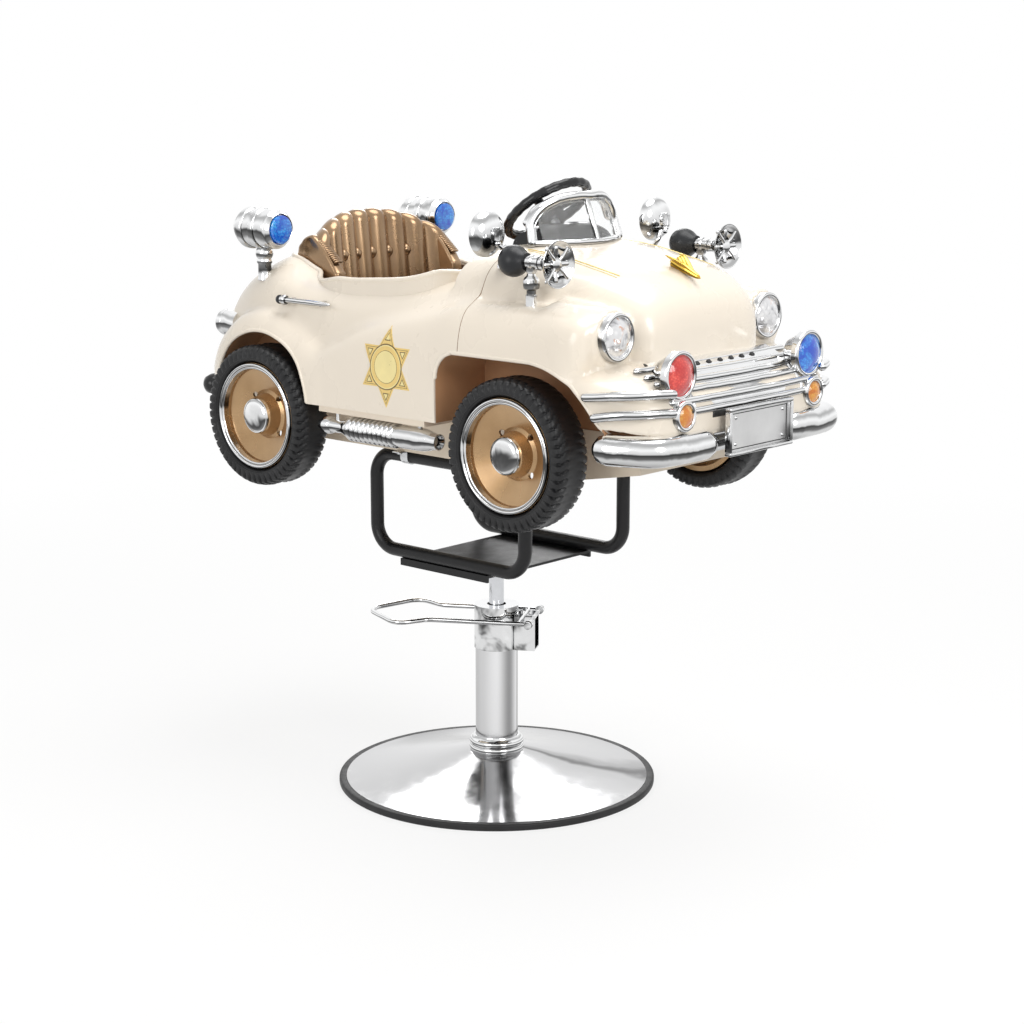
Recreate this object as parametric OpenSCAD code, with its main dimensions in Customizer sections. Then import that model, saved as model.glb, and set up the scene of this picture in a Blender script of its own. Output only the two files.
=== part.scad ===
// Child's salon chair: an old-timer pedal car body on a tube frame, carried by a foot-pumped
// hydraulic column. Origin on the floor under the column, +Z up. The car faces -Y and its
// right side is -X. All lengths are millimetres.

/* [Stand] */
// Diameter of the base over its rubber rim
base_d = 600; // [540:10:660]
// Height of the rubber rim
rim_h = 13; // [11:1:18]
// Width of the rubber rim seen from above
rim_w = 14; // [12:1:20]
// Height of the dome where the collar stands
dome_h = 62; // [54:1:75]
// Thickness of the domed steel cover
dome_t = 3; // [2:0.5:4]
// Thickness of the steel floor plate
floor_t = 8; // [6:1:10]
// Outer diameter of the column cover
column_d = 80; // [76:1:88]
// Wall of the column cover and of the pump head housing
column_t = 2; // [1.5:0.5:3]
// Height of the seam between column cover and pump head
seam_z = 261; // [250:1:270]
// Height of the pump head's top over the floor
head_z = 344; // [338:1:352]
// Diameter of the lifting rod
rod_d = 28; // [24:1:32]
// Travel of the lifting rod below the height drawn
lift_down = 45; // [20:5:50]
// Travel of the lifting rod above the height drawn
lift_up = 105; // [60:5:110]

/* [Foot pedal] */
// Diameter of the pedal wire
wire_d = 9; // [7:0.5:10]
// Distance of the pedal's hinge pin from the column's centre
pin_reach = 72; // [68:1:80]
// Height of the hinge pin below the pump head's top
pin_drop = 23; // [18:1:28]
// Distance of the pedal's tip from the column's centre
pedal_reach = 238; // [210:2:260]
// Half the width of the pedal at its shoulders
pedal_half_w = 97; // [75:1:105]
// Direction of the pedal, seen from above, from the +X axis
pedal_turn = 121; // [90:1:150]

/* [Frame] */
// Diameter of the frame tube
tube_d = 25; // [22:1:28]
// Distance between the centre lines of the two loops
loop_gap = 272; // [250:2:280]
// Length of a loop between its upright centre lines
loop_l = 371; // [330:1:380]
// Height of a loop between its bar centre lines
loop_h = 181; // [150:1:200]
// Height of the lower bars' centre lines over the floor
loop_z = 452; // [445:1:470]
// Bend radius of the tube's centre line
bend_r = 45; // [35:1:60]
// Thickness of the mounting plate
plate_t = 5; // [4:0.5:8]

/* [Car body] */
// Length of the car over its bumpers
car_l = 1204; // [1180:4:1230]
// Width of the car over its tyres
car_w = 600; // [590:2:620]
// Height of the hood's top over the body's lower edge
body_h = 300; // [290:2:320]
// Wall of the plastic body shells
shell_t = 4; // [3:0.5:5]
// Depth of the chassis pan below the body's lower edge
pan_h = 90; // [86:1:100]
// Free width between a wheel and the chassis pan
pan_gap = 67; // [63:1:70]

/* [Wheels] */
// Outer diameter of a tyre
tyre_d = 264; // [250:2:268]
// Width of a tyre
tyre_w = 75; // [68:1:78]
// Diameter of the rim where the tyre sits
rim_d = 196; // [180:2:204]
// Place of the front axle in front of the column, as a share of half the car's length
front_axle_share = 0.476744; // [0.47:0.0005:0.484]
// Place of the rear axle behind the column, as a share of half the car's length
rear_axle_share = 0.55814; // [0.552:0.0005:0.566]
// Diameter of the wheel spindles and of the rear axle
spindle_d = 20; // [16:1:22]

/* [Steering] */
// Diameter of the steering wheel over its rim
helm_d = 176; // [160:2:190]
// Thickness of the steering wheel's rim
helm_rim_d = 18; // [14:1:20]
// Slope of the steering wheel's plane over the horizontal
helm_tilt = 38.8; // [36:0.2:41]
// Diameter of the steering shaft
shaft_d = 16; // [14:1:18]

/* [Lamps and fittings] */
// Diameter of a headlight over its ring
headlight_d = 82; // [70:1:90]
// Diameter of a red or blue signal lamp over its ring
signal_d = 82; // [70:1:86]
// Diameter of an amber lamp over its ring
amber_d = 52; // [44:1:56]
// Diameter of a rear spot lamp
spot_d = 78; // [66:1:84]
// Diameter of a horn's bell
horn_d = 80; // [70:1:88]
// Diameter of a horn's rubber bulb
bulb_d = 54; // [46:1:58]
// Diameter of a round mirror
mirror_d = 80; // [70:1:86]
// Width between the seat back and the car's side
seat_side = 147; // [142:1:158]

/* [Hidden] */
$fn = 64;

// Fits and overruns
fit = 0.05;       // radial running clearance of a pin or shaft
clear = 0.3;      // gap between parts that only face each other
over = 20;        // how far a cut runs past what it cuts
rod_guide = 79;   // length of the lifting rod that stays guided at full height
slice_t = 0.2;    // thickness of one section of a lofted form

// Levels over the floor
pan_z = loop_z + loop_h + tube_d/2;
sill_z = pan_z + pan_h;
top_z = sill_z + body_h;
axle_z = pan_z + 0.605*pan_h;
pin_z = head_z - pin_drop;
half_l = car_l/2;
half_w = car_w/2;
front_reach = front_axle_share*half_l;
rear_reach = rear_axle_share*half_l;
rod_foot = head_z - lift_up - rod_guide;
seat_w = car_w - 2*seat_side;

// Places on the car, from shares of its half length, half width and height
function py(share) = share*half_l;
function px(share) = share*half_w;
function pz(share) = sill_z + share*body_h;
function place(s) = [px(s.x), py(s.y), pz(s.z)];

// A cylinder between two points
module rod(a, b, d) {
  v = b - a;
  l = norm(v);
  translate(a) rotate([0, acos(v.z/l), atan2(v.y, v.x)]) cylinder(h=l, d=d);
}

// A bent round bar through a list of points, with ball joints a little thicker than the bar
module bent_bar(points, d) {
  for (i = [0:len(points)-2]) {
    short = 0.3*d*(points[i+1] - points[i])/norm(points[i+1] - points[i]);
    rod(points[i] + short, points[i+1] - short, d);
  }
  for (i = [0:len(points)-1]) translate(points[i]) sphere(d=1.2*d);
}

// The same bar as smooth hulls, for trim that carries no bore
module smooth_bar(points, d) {
  for (i = [0:len(points)-2]) hull() for (k = [0, 1])
    translate(points[i+k]) sphere(d=d, $fn=14);
}

// A copy on both sides of the car
module both_sides() {
  children();
  mirror([1, 0, 0]) children();
}

// A disc of height foot with a domed top that rises further by rise
dome_n = 8;

module domed(d, foot, rise) {
  ball_r = (d*d/4 + rise*rise)/(2*rise);
  half_turn = rise > d/2 ? 180 - asin(d/2/ball_r) : asin(d/2/ball_r);
  rotate_extrude() polygon(concat([[0, 0], [d/2, 0]],
    [for (i = [0:dome_n]) let (a = half_turn*(1 - i/dome_n))
      [i == dome_n ? 0 : ball_r*sin(a), foot + rise - ball_r + ball_r*cos(a)]]));
}

// Points on a superellipse
function oval(hw, hh, power, n) = [for (i = [0:n-1])
  let (a = 360*i/n, c = cos(a), s = sin(a))
  [hw*sign(c)*pow(abs(c), 2/power), hh*sign(s)*pow(abs(s), 2/power)]];

// Stand

rim_r = base_d/2;
dome_r = rim_r - rim_w;
dome_lip = 6;
dome_foot = rim_h - dome_t;
floor_lift = 1;
floor_r = dome_r - dome_lip - clear;
bore_r = column_d/2 - column_t;
flange_d = 130;
flange_t = 10;
pump_d = 60;
bolt_d = 10;
bolt_ring_share = 0.39;
bolt_head_d = 17;
bolt_head_t = 6;
collar_bead = 12;
collar_r = column_d/2 + collar_bead;
head_top_t = 4;
head_r = column_d/2 + column_t;
dome_power = 1.35;
dome_steps = 14;

// Height of the dome's outer face at a share of the way from rim to collar
function dome_face(t) = rim_h + (dome_h - rim_h)*pow(t, dome_power);
function dome_line(drop) = [for (i = [0:dome_steps]) let (t = i/dome_steps)
  [dome_r + (collar_r - dome_r)*t, dome_face(t) - drop]];

module base_plate() {
  inner = column_d/2 + clear;
  color("silver") rotate_extrude($fn=96) polygon(concat(
    dome_line(0), [[inner, dome_h], [inner, dome_h - dome_t]],
    [for (i = [dome_steps:-1:0]) dome_line(dome_t)[i]]));
}

module base_rim() {
  edge = rim_w/4;
  color("dimgray") rotate_extrude($fn=96) polygon([
    [dome_r - dome_lip, 0], [rim_r, 0], [rim_r, rim_h - 2*edge], [rim_r - edge/2, rim_h - edge/2],
    [rim_r - 1.5*edge, rim_h], [dome_r + clear, rim_h], [dome_r + clear, dome_foot],
    [dome_r - dome_lip, dome_foot]]);
}

module bolt_places() {
  for (i = [0:3]) rotate([0, 0, 45 + 90*i])
    translate([flange_d*bolt_ring_share, 0, 0]) children();
}

module floor_plate() {
  color("gray") difference() {
    translate([0, 0, floor_lift]) cylinder(h=floor_t, r=floor_r, $fn=96);
    bolt_places() cylinder(h=floor_t + over, d=bolt_d + 2*clear);
  }
}

module base_bolts() {
  foot = floor_lift + clear;
  seat = floor_lift + floor_t + flange_t;
  color("darkgray") bolt_places() {
    translate([0, 0, foot]) cylinder(h=seat - foot, d=bolt_d);
    translate([0, 0, seat]) cylinder(h=bolt_head_t, d=bolt_head_d, $fn=6);
  }
}

module column_collar() {
  bead_r = collar_bead/2;
  color("silver") rotate_extrude($fn=96) {
    inner = column_d/2 + clear;
    translate([inner, dome_h]) square([bead_r, 2.4*collar_bead]);
    translate([inner + bead_r, dome_h + 0.9*bead_r]) circle(r=0.9*bead_r, $fn=24);
    translate([inner + bead_r, dome_h + 2.9*bead_r]) circle(r=0.9*bead_r, $fn=24);
  }
}

module column_cover() {
  color("silver") difference() {
    translate([0, 0, dome_h]) cylinder(h=seam_z - dome_h, d=column_d);
    cylinder(h=seam_z + over, r=bore_r);
  }
}

module pump_cylinder() {
  foot = floor_lift + floor_t;
  top = head_z - head_top_t - clear;
  bottom = rod_foot - lift_down - over;
  color("darkslategray") difference() {
    union() {
      translate([0, 0, foot]) cylinder(h=flange_t, d=flange_d);
      translate([0, 0, foot]) cylinder(h=top - foot, d=pump_d);
    }
    bolt_places() cylinder(h=foot + flange_t + over, d=bolt_d + 2*clear);
    translate([0, 0, bottom]) cylinder(h=head_z, d=rod_d + 2*fit);
  }
}

module pump_head() {
  slot_w = column_d*0.3;
  slot_h = (head_z - seam_z)*0.4;
  color("silver") difference() {
    translate([0, 0, seam_z]) cylinder(h=head_z - seam_z, r=head_r);
    translate([0, 0, seam_z - over]) cylinder(h=head_z - seam_z - head_top_t + over, r=bore_r);
    cylinder(h=head_z + over, d=rod_d + 4*column_t);
    rotate([0, 0, pedal_turn + 180])
      translate([0, -slot_w/2, seam_z + slot_w/4]) cube([column_d, slot_w, slot_h]);
  }
}

// Foot pump: bracket, hinge pin, pedal and plunger

cheek_t = 3;
cheek_half = column_d*0.27;
cheek_edge = 5;
pin_d = 8;
plunger_d = 10;
barrel_d = 18;
lever = 20;
barrel_gap = 1.5;
pedal_travel = 15;
leg_half = head_r + wire_d/2 + 10;
plunger_x = pin_reach - lever;
eye_d = 2*pin_d;
nut_d = 14;
nut_t = 5;
// Where the pedal's wires start to spread and where they turn in again, as shares of its reach
spread_share = 0.497;
shoulder_share = 0.722;
tip_half_share = 0.16;

module pedal_bracket() {
  low = seam_z - clear;
  tall = pin_z + pin_d - low;
  root = sqrt(head_r*head_r - pow(cheek_half - cheek_t, 2)) + clear;
  notch = pin_d/2 + lever*sin(pedal_travel) + barrel_gap;
  barrel_h = plunger_d*3;
  color("silver") rotate([0, 0, pedal_turn + 180]) {
    difference() {
      union() {
        both_cheeks() translate([root, cheek_half - cheek_t, low])
          cube([pin_reach + cheek_edge - root, cheek_t, tall]);
        translate([head_r + clear, -cheek_half, low])
          cube([pin_reach + cheek_edge - head_r - clear, 2*cheek_half, cheek_t]);
        translate([plunger_x, 0, low]) cylinder(h=barrel_h, d=barrel_d);
      }
      translate([plunger_x, 0, low + cheek_t])
        cylinder(h=barrel_h + over, d=plunger_d + 2*fit);
      translate([plunger_x - pin_d/2 - barrel_gap, -head_r, pin_z - notch])
        cube([pin_d + 2*barrel_gap, 2*head_r, tall]);
    }
    translate([pin_reach, 0, pin_z]) rotate([90, 0, 0])
      cylinder(h=2*(leg_half + pin_d), d=pin_d, center=true);
    both_cheeks() translate([pin_reach, leg_half + pin_d, pin_z]) rotate([-90, 0, 0])
      cylinder(h=nut_t, d=nut_d);
  }
}

module both_cheeks() {
  children();
  mirror([0, 1, 0]) children();
}

module pump_pedal() {
  wire_z = pin_z;
  color("silver") rotate([0, 0, pedal_turn]) difference() {
    union() {
      bent_bar([
        [-pin_reach + eye_d/2, leg_half, wire_z],
        [spread_share*pedal_reach, leg_half, wire_z],
        [shoulder_share*pedal_reach, pedal_half_w, wire_z],
        [pedal_reach, tip_half_share*pedal_half_w, wire_z],
        [pedal_reach, -tip_half_share*pedal_half_w, wire_z],
        [shoulder_share*pedal_reach, -pedal_half_w, wire_z],
        [spread_share*pedal_reach, -leg_half, wire_z],
        [-pin_reach + eye_d/2, -leg_half, wire_z]], wire_d);
      both_cheeks() translate([-pin_reach, leg_half, wire_z]) rotate([90, 0, 0])
        cylinder(h=pin_d, d=eye_d, center=true);
      rod([-plunger_x, -leg_half, wire_z], [-plunger_x, leg_half, wire_z], pin_d);
    }
    translate([-pin_reach, 0, wire_z]) rotate([90, 0, 0])
      cylinder(h=4*leg_half, d=pin_d + 2*fit, center=true);
  }
}

module pump_plunger() {
  top = pin_z - pin_d/2 - clear;
  bottom = seam_z + lever;
  color("silver") rotate([0, 0, pedal_turn + 180])
    translate([plunger_x, 0, bottom]) cylinder(h=top - bottom, d=plunger_d);
}

// Lifting rod, mounting plate and frame

plate_z = loop_z - tube_d/2 - plate_t;
hub_h = 32;
hub_d = rod_d + 22;
flange_drop = 8;
loop_shift = -8;
plate_l = 219;

module piston_rod() {
  color("silver") translate([0, 0, rod_foot])
    cylinder(h=plate_z - clear - rod_foot, d=rod_d);
}

module mounting_plate() {
  plate_half = loop_gap/2 + tube_d/3;
  color([0.08, 0.08, 0.08]) {
    difference() {
      translate([0, 0, plate_z - hub_h]) cylinder(h=hub_h, d=hub_d);
      translate([0, 0, plate_z - hub_h - over]) cylinder(h=hub_h + over, d=rod_d + 2*fit);
    }
    translate([-plate_half, -plate_l/2, plate_z]) cube([2*plate_half, plate_l, plate_t]);
    both_sides() translate([plate_half - plate_t, -plate_l/2, plate_z - flange_drop])
      cube([plate_t, plate_l, flange_drop]);
  }
}

module frame_loop(side) {
  front = loop_shift - loop_l/2;
  rear = loop_shift + loop_l/2;
  top = loop_z + loop_h;
  color([0.08, 0.08, 0.08]) translate([side*loop_gap/2, 0, 0]) {
    for (z = [loop_z, top]) rod([0, front + bend_r, z], [0, rear - bend_r, z], tube_d);
    for (y = [front, rear]) rod([0, y, loop_z + bend_r], [0, y, top - bend_r], tube_d);
    for (c = [[rear - bend_r, top - bend_r, 0], [front + bend_r, top - bend_r, 90],
              [front + bend_r, loop_z + bend_r, 180], [rear - bend_r, loop_z + bend_r, 270]])
      translate([0, c.x, c.y]) rotate([90, 0, 90]) rotate([0, 0, c.z])
        rotate_extrude(angle=90) translate([bend_r, 0]) circle(d=tube_d, $fn=48);
  }
}

strap_w = 18;
strap_t = 2;
strap_ear = 20;
strap_y_share = 0.27;
screw_d = 6;

module frame_straps() {
  bar_z = loop_z + loop_h;
  outer = tube_d/2 + strap_t + clear;
  inner = tube_d/2 + clear;
  rise = tube_d/2 - clear;
  color("silver") both_sides() for (s = [-1, 1])
    translate([loop_gap/2, loop_shift + s*strap_y_share*loop_l, bar_z]) {
      difference() {
        union() {
          rotate([90, 0, 0]) cylinder(h=strap_w, r=outer, center=true);
          translate([-outer, -strap_w/2, 0]) cube([2*outer, strap_w, rise]);
          translate([-outer - strap_ear, -strap_w/2, rise - strap_t])
            cube([2*(outer + strap_ear), strap_w, strap_t]);
        }
        rotate([90, 0, 0]) cylinder(h=2*strap_w, r=inner, center=true);
        translate([-inner, -strap_w, 0]) cube([2*inner, 2*strap_w, 2*rise]);
        translate([-2*outer, -strap_w, rise]) cube([4*outer, 2*strap_w, outer]);
      }
      for (e = [-1, 1]) translate([e*(outer + strap_ear/2), 0, rise - strap_t - screw_d/2])
        cylinder(h=screw_d/2, d=1.8*screw_d);
    }
}

// Chassis pan with the axle openings

pan_half = half_w - tyre_w - pan_gap;
pan_front_share = -0.78;
pan_rear_share = 0.83;
// Along the exhaust, from its mouth to its tail
wing_front_share = 0.0715;
wing_rear_share = 0.9694;
wing_half_share = 0.943;
riser_front_share = 0.11;
riser_rear_share = 0.58;
riser_half_share = 0.66;
riser_top_share = 0.13;
wing_t = 10;
nose_rise = 26;
nose_run = 140;
beam = 25;
link_gap = 22;

// Side view of the pan, its nose raked upwards
module pan_side(front, rear, low, high) {
  polygon([[front, low + nose_rise], [front + nose_run, low], [rear, low], [rear, high], [front, high]]);
}

module chassis_pan() {
  front = py(pan_front_share);
  rear = py(pan_rear_share);
  w_front = pipe_y(wing_front_share);
  w_rear = pipe_y(wing_rear_share);
  r_front = py(riser_front_share);
  r_rear = py(riser_rear_share);
  w_half = px(wing_half_share);
  r_half = px(riser_half_share);
  r_top = pz(riser_top_share);
  in_half = pan_half - shell_t;
  color("tan") difference() {
    union() {
      along_side(-pan_half) linear_extrude(height=2*pan_half) pan_side(front, rear, pan_z, sill_z);
      translate([-w_half, w_front, sill_z - wing_t]) cube([2*w_half, w_rear - w_front, wing_t]);
      translate([-r_half, r_front, sill_z - wing_t])
        cube([2*r_half, r_rear - r_front, r_top - sill_z + wing_t]);
    }
    along_side(-in_half) linear_extrude(height=2*in_half)
      pan_side(front + shell_t, r_front + shell_t, pan_z + shell_t, sill_z + over);
    translate([-in_half, r_front, pan_z + shell_t])
      cube([2*in_half, rear - r_front - shell_t, pan_h - 2*shell_t]);
    translate([-pan_half - over, -front_reach - beam/2 - clear, axle_z - beam/2 - clear])
      cube([2*(pan_half + over), beam + 2*clear, beam + 2*clear]);
    translate([-pan_half - over, link_y - link_gap, link_z - link_gap/2])
      cube([2*(pan_half + over), 2*link_gap, pan_h]);
    translate([0, rear_reach, axle_z]) rotate([0, 90, 0])
      cylinder(h=2*half_w, d=spindle_d + 2*fit, center=true);
  }
}

// Steering geometry, from the wheel down the shaft to the tie rod

helm_share = [-0.206, 1.173];
helm_at = [0, py(helm_share.x), pz(helm_share.y)];
shaft_dir = [0, -sin(helm_tilt), -cos(helm_tilt)];
arm_dir = [0, cos(helm_tilt), -sin(helm_tilt)];
kingpin_x = half_w - tyre_w - 35;
arm_l = 47;
crank_l = 24.5;
link_y = -front_reach + arm_l;
boss_d = 32;
king_d = 16;
fork_t = 6;
fork_z = boss_d/2 + fork_t/6/2;
link_pin_d = 8;
link_play = 0.6;
link_t = 5;
link_z = axle_z + fork_z + fork_t + 1.5;
crank_t = 8;
bearing_back = 15.735;
bearing_s = (helm_at.y + front_reach - bearing_back)/sin(helm_tilt);
crank_gap = 37;
crank_s = bearing_s + crank_gap;
tab_s = crank_s + 2*crank_t;

function down_shaft(s) = helm_at + s*shaft_dir;

// Puts children on the steering shaft, their +Z pointing up towards the driver
module on_shaft(s) {
  translate(down_shaft(s)) rotate([-helm_tilt, 0, 0]) children();
}

module front_axle() {
  post_in = 36;
  post_t = 8;
  block = down_shaft(bearing_s);
  block_d = 38;
  block_h = 22;
  color("dimgray") difference() {
    union() {
      translate([-kingpin_x, -front_reach - beam/2, axle_z - beam/2])
        cube([2*kingpin_x, beam, beam]);
      both_sides() {
        translate([kingpin_x, -front_reach, axle_z - boss_d/2]) cylinder(h=boss_d, d=boss_d);
        translate([post_in, -front_reach - beam/2, axle_z])
          cube([post_t, beam/2, block.z - axle_z]);
      }
      translate([-post_in - post_t, -front_reach - beam/2, block.z - block_h/2])
        cube([2*(post_in + post_t), block_d, block_h]);
    }
    both_sides() translate([kingpin_x, -front_reach, axle_z])
      cylinder(h=2*boss_d, d=king_d + 2*fit, center=true);
    on_shaft(bearing_s) cylinder(h=3*block_d, d=shaft_d + 2*fit, center=true);
  }
}

module rear_axle() {
  color("dimgray") translate([0, rear_reach, axle_z]) rotate([0, 90, 0])
    cylinder(h=2*(half_w - tyre_w + disc_nose - clear), d=spindle_d, center=true);
}

module knuckle(side) {
  web_x = boss_d/2 + 2;
  web_t = 6;
  shoulder_d = spindle_d + 8;
  spindle_end = half_w - tyre_w + disc_nose - clear - kingpin_x;
  shoulder_end = half_w - tyre_w + hub_back - clear - kingpin_x;
  color("gray") mirror([side < 0 ? 1 : 0, 0, 0])
    translate([kingpin_x, -front_reach, axle_z]) {
      for (s = [-1, 1]) translate([0, 0, s*(fork_z + fork_t/2)]) {
        cylinder(h=fork_t, d=boss_d - 2, center=true);
        translate([0, -boss_d/2 + 1, -fork_t/2]) cube([web_x + web_t, boss_d - 2, fork_t]);
      }
      translate([web_x, -boss_d/2 + 1, -fork_z - fork_t])
        cube([web_t, boss_d - 2, 2*(fork_z + fork_t)]);
      cylinder(h=2*(fork_z + fork_t), d=king_d, center=true);
      rotate([0, 90, 0]) translate([0, 0, web_x]) cylinder(h=spindle_end - web_x, d=spindle_d);
      rotate([0, 90, 0]) translate([0, 0, web_x]) cylinder(h=shoulder_end - web_x, d=shoulder_d);
      translate([-link_pin_d, 0, fork_z]) cube([2*link_pin_d, arm_l, fork_t]);
      translate([0, arm_l, fork_z]) cylinder(h=fork_t, d=2*link_pin_d);
      translate([0, arm_l, fork_z]) cylinder(h=fork_t + 3*link_t, d=link_pin_d);
    }
}

module link_slot(d, half, h) {
  for (s = [-1, 1]) translate([0, s*half, 0]) cylinder(h=h, d=d, center=true);
  translate([-d/2, -half, -h/2]) cube([d, 2*half, h]);
}

module tie_rod() {
  bar_half = 7;
  end_r = 14;
  slot_half = 4;
  tab_half = 17;
  web_half = 14;
  tab_up = 14;
  tab_down = 45;
  tab_mid = crank_l - 2.5;
  foot = down_shaft(tab_s) + (crank_l + tab_down)*arm_dir;
  slot_d = link_pin_d + 2*link_play;
  color("gray") difference() {
    union() {
      translate([-kingpin_x, link_y - bar_half, link_z]) cube([2*kingpin_x, 2*bar_half, link_t]);
      both_sides() translate([kingpin_x, link_y, link_z]) cylinder(h=link_t, r=end_r);
      translate([-web_half, foot.y - link_t, link_z])
        cube([2*web_half, link_t + link_y - foot.y, link_t]);
      translate([-web_half, foot.y - link_t, link_z]) cube([2*web_half, link_t, foot.z - link_z]);
      on_shaft(tab_s) translate([-tab_half, crank_l - tab_up, -link_t/2])
        cube([2*tab_half, tab_up + tab_down - link_t/3, link_t]);
    }
    both_sides() translate([kingpin_x, link_y, link_z]) link_slot(slot_d, slot_half, 4*link_t);
    on_shaft(tab_s) translate([0, tab_mid, 0]) link_slot(slot_d, slot_half, 4*link_t);
  }
}

hub_r = 24;
hub_top = 12;
helm_hub_h = 26;
button_r = 17;
button_travel = 4;

module steering_shaft() {
  end_s = crank_s + crank_t;
  color("gray") {
    translate(down_shaft(end_s)) rotate([-helm_tilt, 0, 0])
      cylinder(h=end_s - helm_hub_h, d=shaft_d);
    on_shaft(crank_s) {
      cylinder(h=crank_t, d=shaft_d + 6, center=true);
      translate([-link_pin_d, 0, -crank_t/2]) cube([2*link_pin_d, crank_l, crank_t]);
      translate([0, crank_l, 0]) cylinder(h=crank_t, d=2*link_pin_d, center=true);
      translate([0, crank_l, -tab_s + crank_s - 2*link_t])
        cylinder(h=tab_s - crank_s + 2*link_t, d=link_pin_d);
    }
  }
}

module steering_wheel() {
  ring_r = helm_d/2 - helm_rim_d/2;
  spoke_w = 20;
  spoke_t = 8;
  well = button_travel + hub_top + clear;
  color([0.1, 0.1, 0.1]) on_shaft(0) difference() {
    union() {
      rotate_extrude($fn=96) translate([ring_r, 0]) circle(d=helm_rim_d, $fn=24);
      translate([0, 0, -helm_hub_h]) cylinder(h=helm_hub_h, r=hub_r);
      for (i = [0:2]) rotate([0, 0, 90 + 120*i])
        translate([0, -spoke_w/2, -spoke_t]) cube([ring_r, spoke_w, spoke_t]);
    }
    translate([0, 0, -well]) cylinder(h=well + over, r=button_r + clear);
  }
}

module horn_button() {
  color("silver") on_shaft(0) translate([0, 0, -hub_top]) {
    domed(2*button_r, hub_top, button_travel);
  }
}

// Wheels: a tyre, a dished disc and bright trim, drawn with the axle along Z, outside up

disc_nose = 60;
hub_back = 5;
boss_r = 40;
cap_d = 64;
ring_w = 9;
disc_web = 6;

module at_wheel(y, side) {
  mirror([side < 0 ? 1 : 0, 0, 0]) translate([half_w - tyre_w, y, axle_z])
    rotate([0, 90, 0]) children();
}

module tyre() {
  band = (tyre_d - rim_d)/4;
  mid_r = rim_d/2 + band;
  color([0.07, 0.07, 0.07]) difference() {
    rotate_extrude($fn=96) translate([mid_r, tyre_w/2])
      polygon(oval(band, tyre_w/2, 3.2, 28));
    translate([0, 0, -over]) cylinder(h=tyre_w + 2*over, r=rim_d/2 + clear);
  }
}

module disc() {
  rim_r_out = rim_d/2;
  ring_in = rim_r_out - ring_w;
  slot_n = 4;
  color("peru") difference() {
    rotate_extrude($fn=96) polygon([
      [spindle_d/2 + fit, hub_back], [hub_r, hub_back], [hub_r, tyre_w/2 - disc_web],
      [boss_r, tyre_w/2 - disc_web], [ring_in - disc_web, tyre_w*0.68 - disc_web],
      [ring_in, tyre_w*0.68 - disc_web], [ring_in, tyre_w/10], [rim_r_out, tyre_w/10],
      [rim_r_out, tyre_w*0.9], [ring_in, tyre_w*0.86], [ring_in - disc_web/2, tyre_w*0.7],
      [boss_r + disc_web, tyre_w*0.5], [boss_r, tyre_w*0.55], [boss_r - disc_web, tyre_w*0.82],
      [cap_d/2, tyre_w*0.86], [spindle_d/2 + fit, tyre_w*0.86]]);
    for (i = [0:slot_n-1]) rotate([0, 0, 45 + 360*i/slot_n])
      translate([boss_r + disc_web, 0, 0]) cylinder(h=tyre_w, r=disc_web, $fn=24);
  }
}

module trim() {
  rim_r_out = rim_d/2;
  color("silver") {
    rotate_extrude($fn=96) translate([rim_r_out - ring_w/2, tyre_w*0.94])
      circle(r=ring_w*0.42, $fn=20);
    translate([0, 0, tyre_w*0.86]) domed(cap_d, tyre_w*0.05, tyre_w*0.09);
  }
}

// Body forms: lofts of superellipse sections.
// Columns: place along the car, centre across it, half width, lower edge, upper edge.
// The first is a share of the half length, the next two of the half width, the rest of the height.

hood_shares = [[-0.814, 0, 0.40, 0.25, 0.60], [-0.804, 0, 0.46, 0.25, 0.68],
  [-0.784, 0, 0.51, 0.25, 0.755], [-0.748, 0, 0.55, 0.25, 0.82], [-0.691, 0, 0.59, 0.25, 0.885],
  [-0.565, 0, 0.65, 0.25, 0.94], [-0.42, 0, 0.71, 0.25, 0.985], [-0.30, 0, 0.745, 0.25, 1.0],
  [-0.165, 0, 0.745, 0.25, 0.97]];
pontoon_shares = [[-0.735, 0.70, 0.20, 0.42, 0.66], [-0.70, 0.705, 0.235, 0.30, 0.69],
  [-0.64, 0.712, 0.243, 0.1, 0.705], [-0.45, 0.712, 0.245, -0.25, 0.71],
  [-0.28, 0.712, 0.245, -0.25, 0.705], [-0.146, 0.712, 0.24, -0.25, 0.65],
  [0.118, 0.71, 0.24, -0.25, 0.53],
  [(rear_reach - 0.4292*tyre_d)/half_l, 0.71, 0.24, -0.25, 0.30]];
apron_shares = [[-0.955, 0, 0.66, 0.06, 0.22], [-0.94, 0, 0.75, 0.03, 0.27],
  [-0.905, 0, 0.83, 0.0, 0.32], [-0.83, 0, 0.90, 0.0, 0.385], [-0.755, 0, 0.945, 0.0, 0.42],
  [-0.66, 0, 0.955, 0.0, 0.44], [-0.50, 0, 0.955, 0.0, 0.45]];
tub_shares = [[-0.286, 0, 0.827, -0.25, 0.892], [-0.20, 0, 0.833, -0.25, 0.85],
  [-0.093, 0, 0.837, -0.25, 0.815], [0.101, 0, 0.84, -0.25, 0.782], [0.272, 0, 0.84, -0.25, 0.765],
  [0.45, 0, 0.835, -0.25, 0.79], [0.575, 0, 0.82, -0.25, 0.875], [0.665, 0, 0.79, -0.15, 0.82],
  [0.782, 0, 0.71, 0.0, 0.69], [0.88, 0, 0.65, 0.0, 0.445], [0.938, 0, 0.58, 0.0, 0.32],
  [0.97, 0, 0.46, 0.03, 0.22]];
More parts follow.
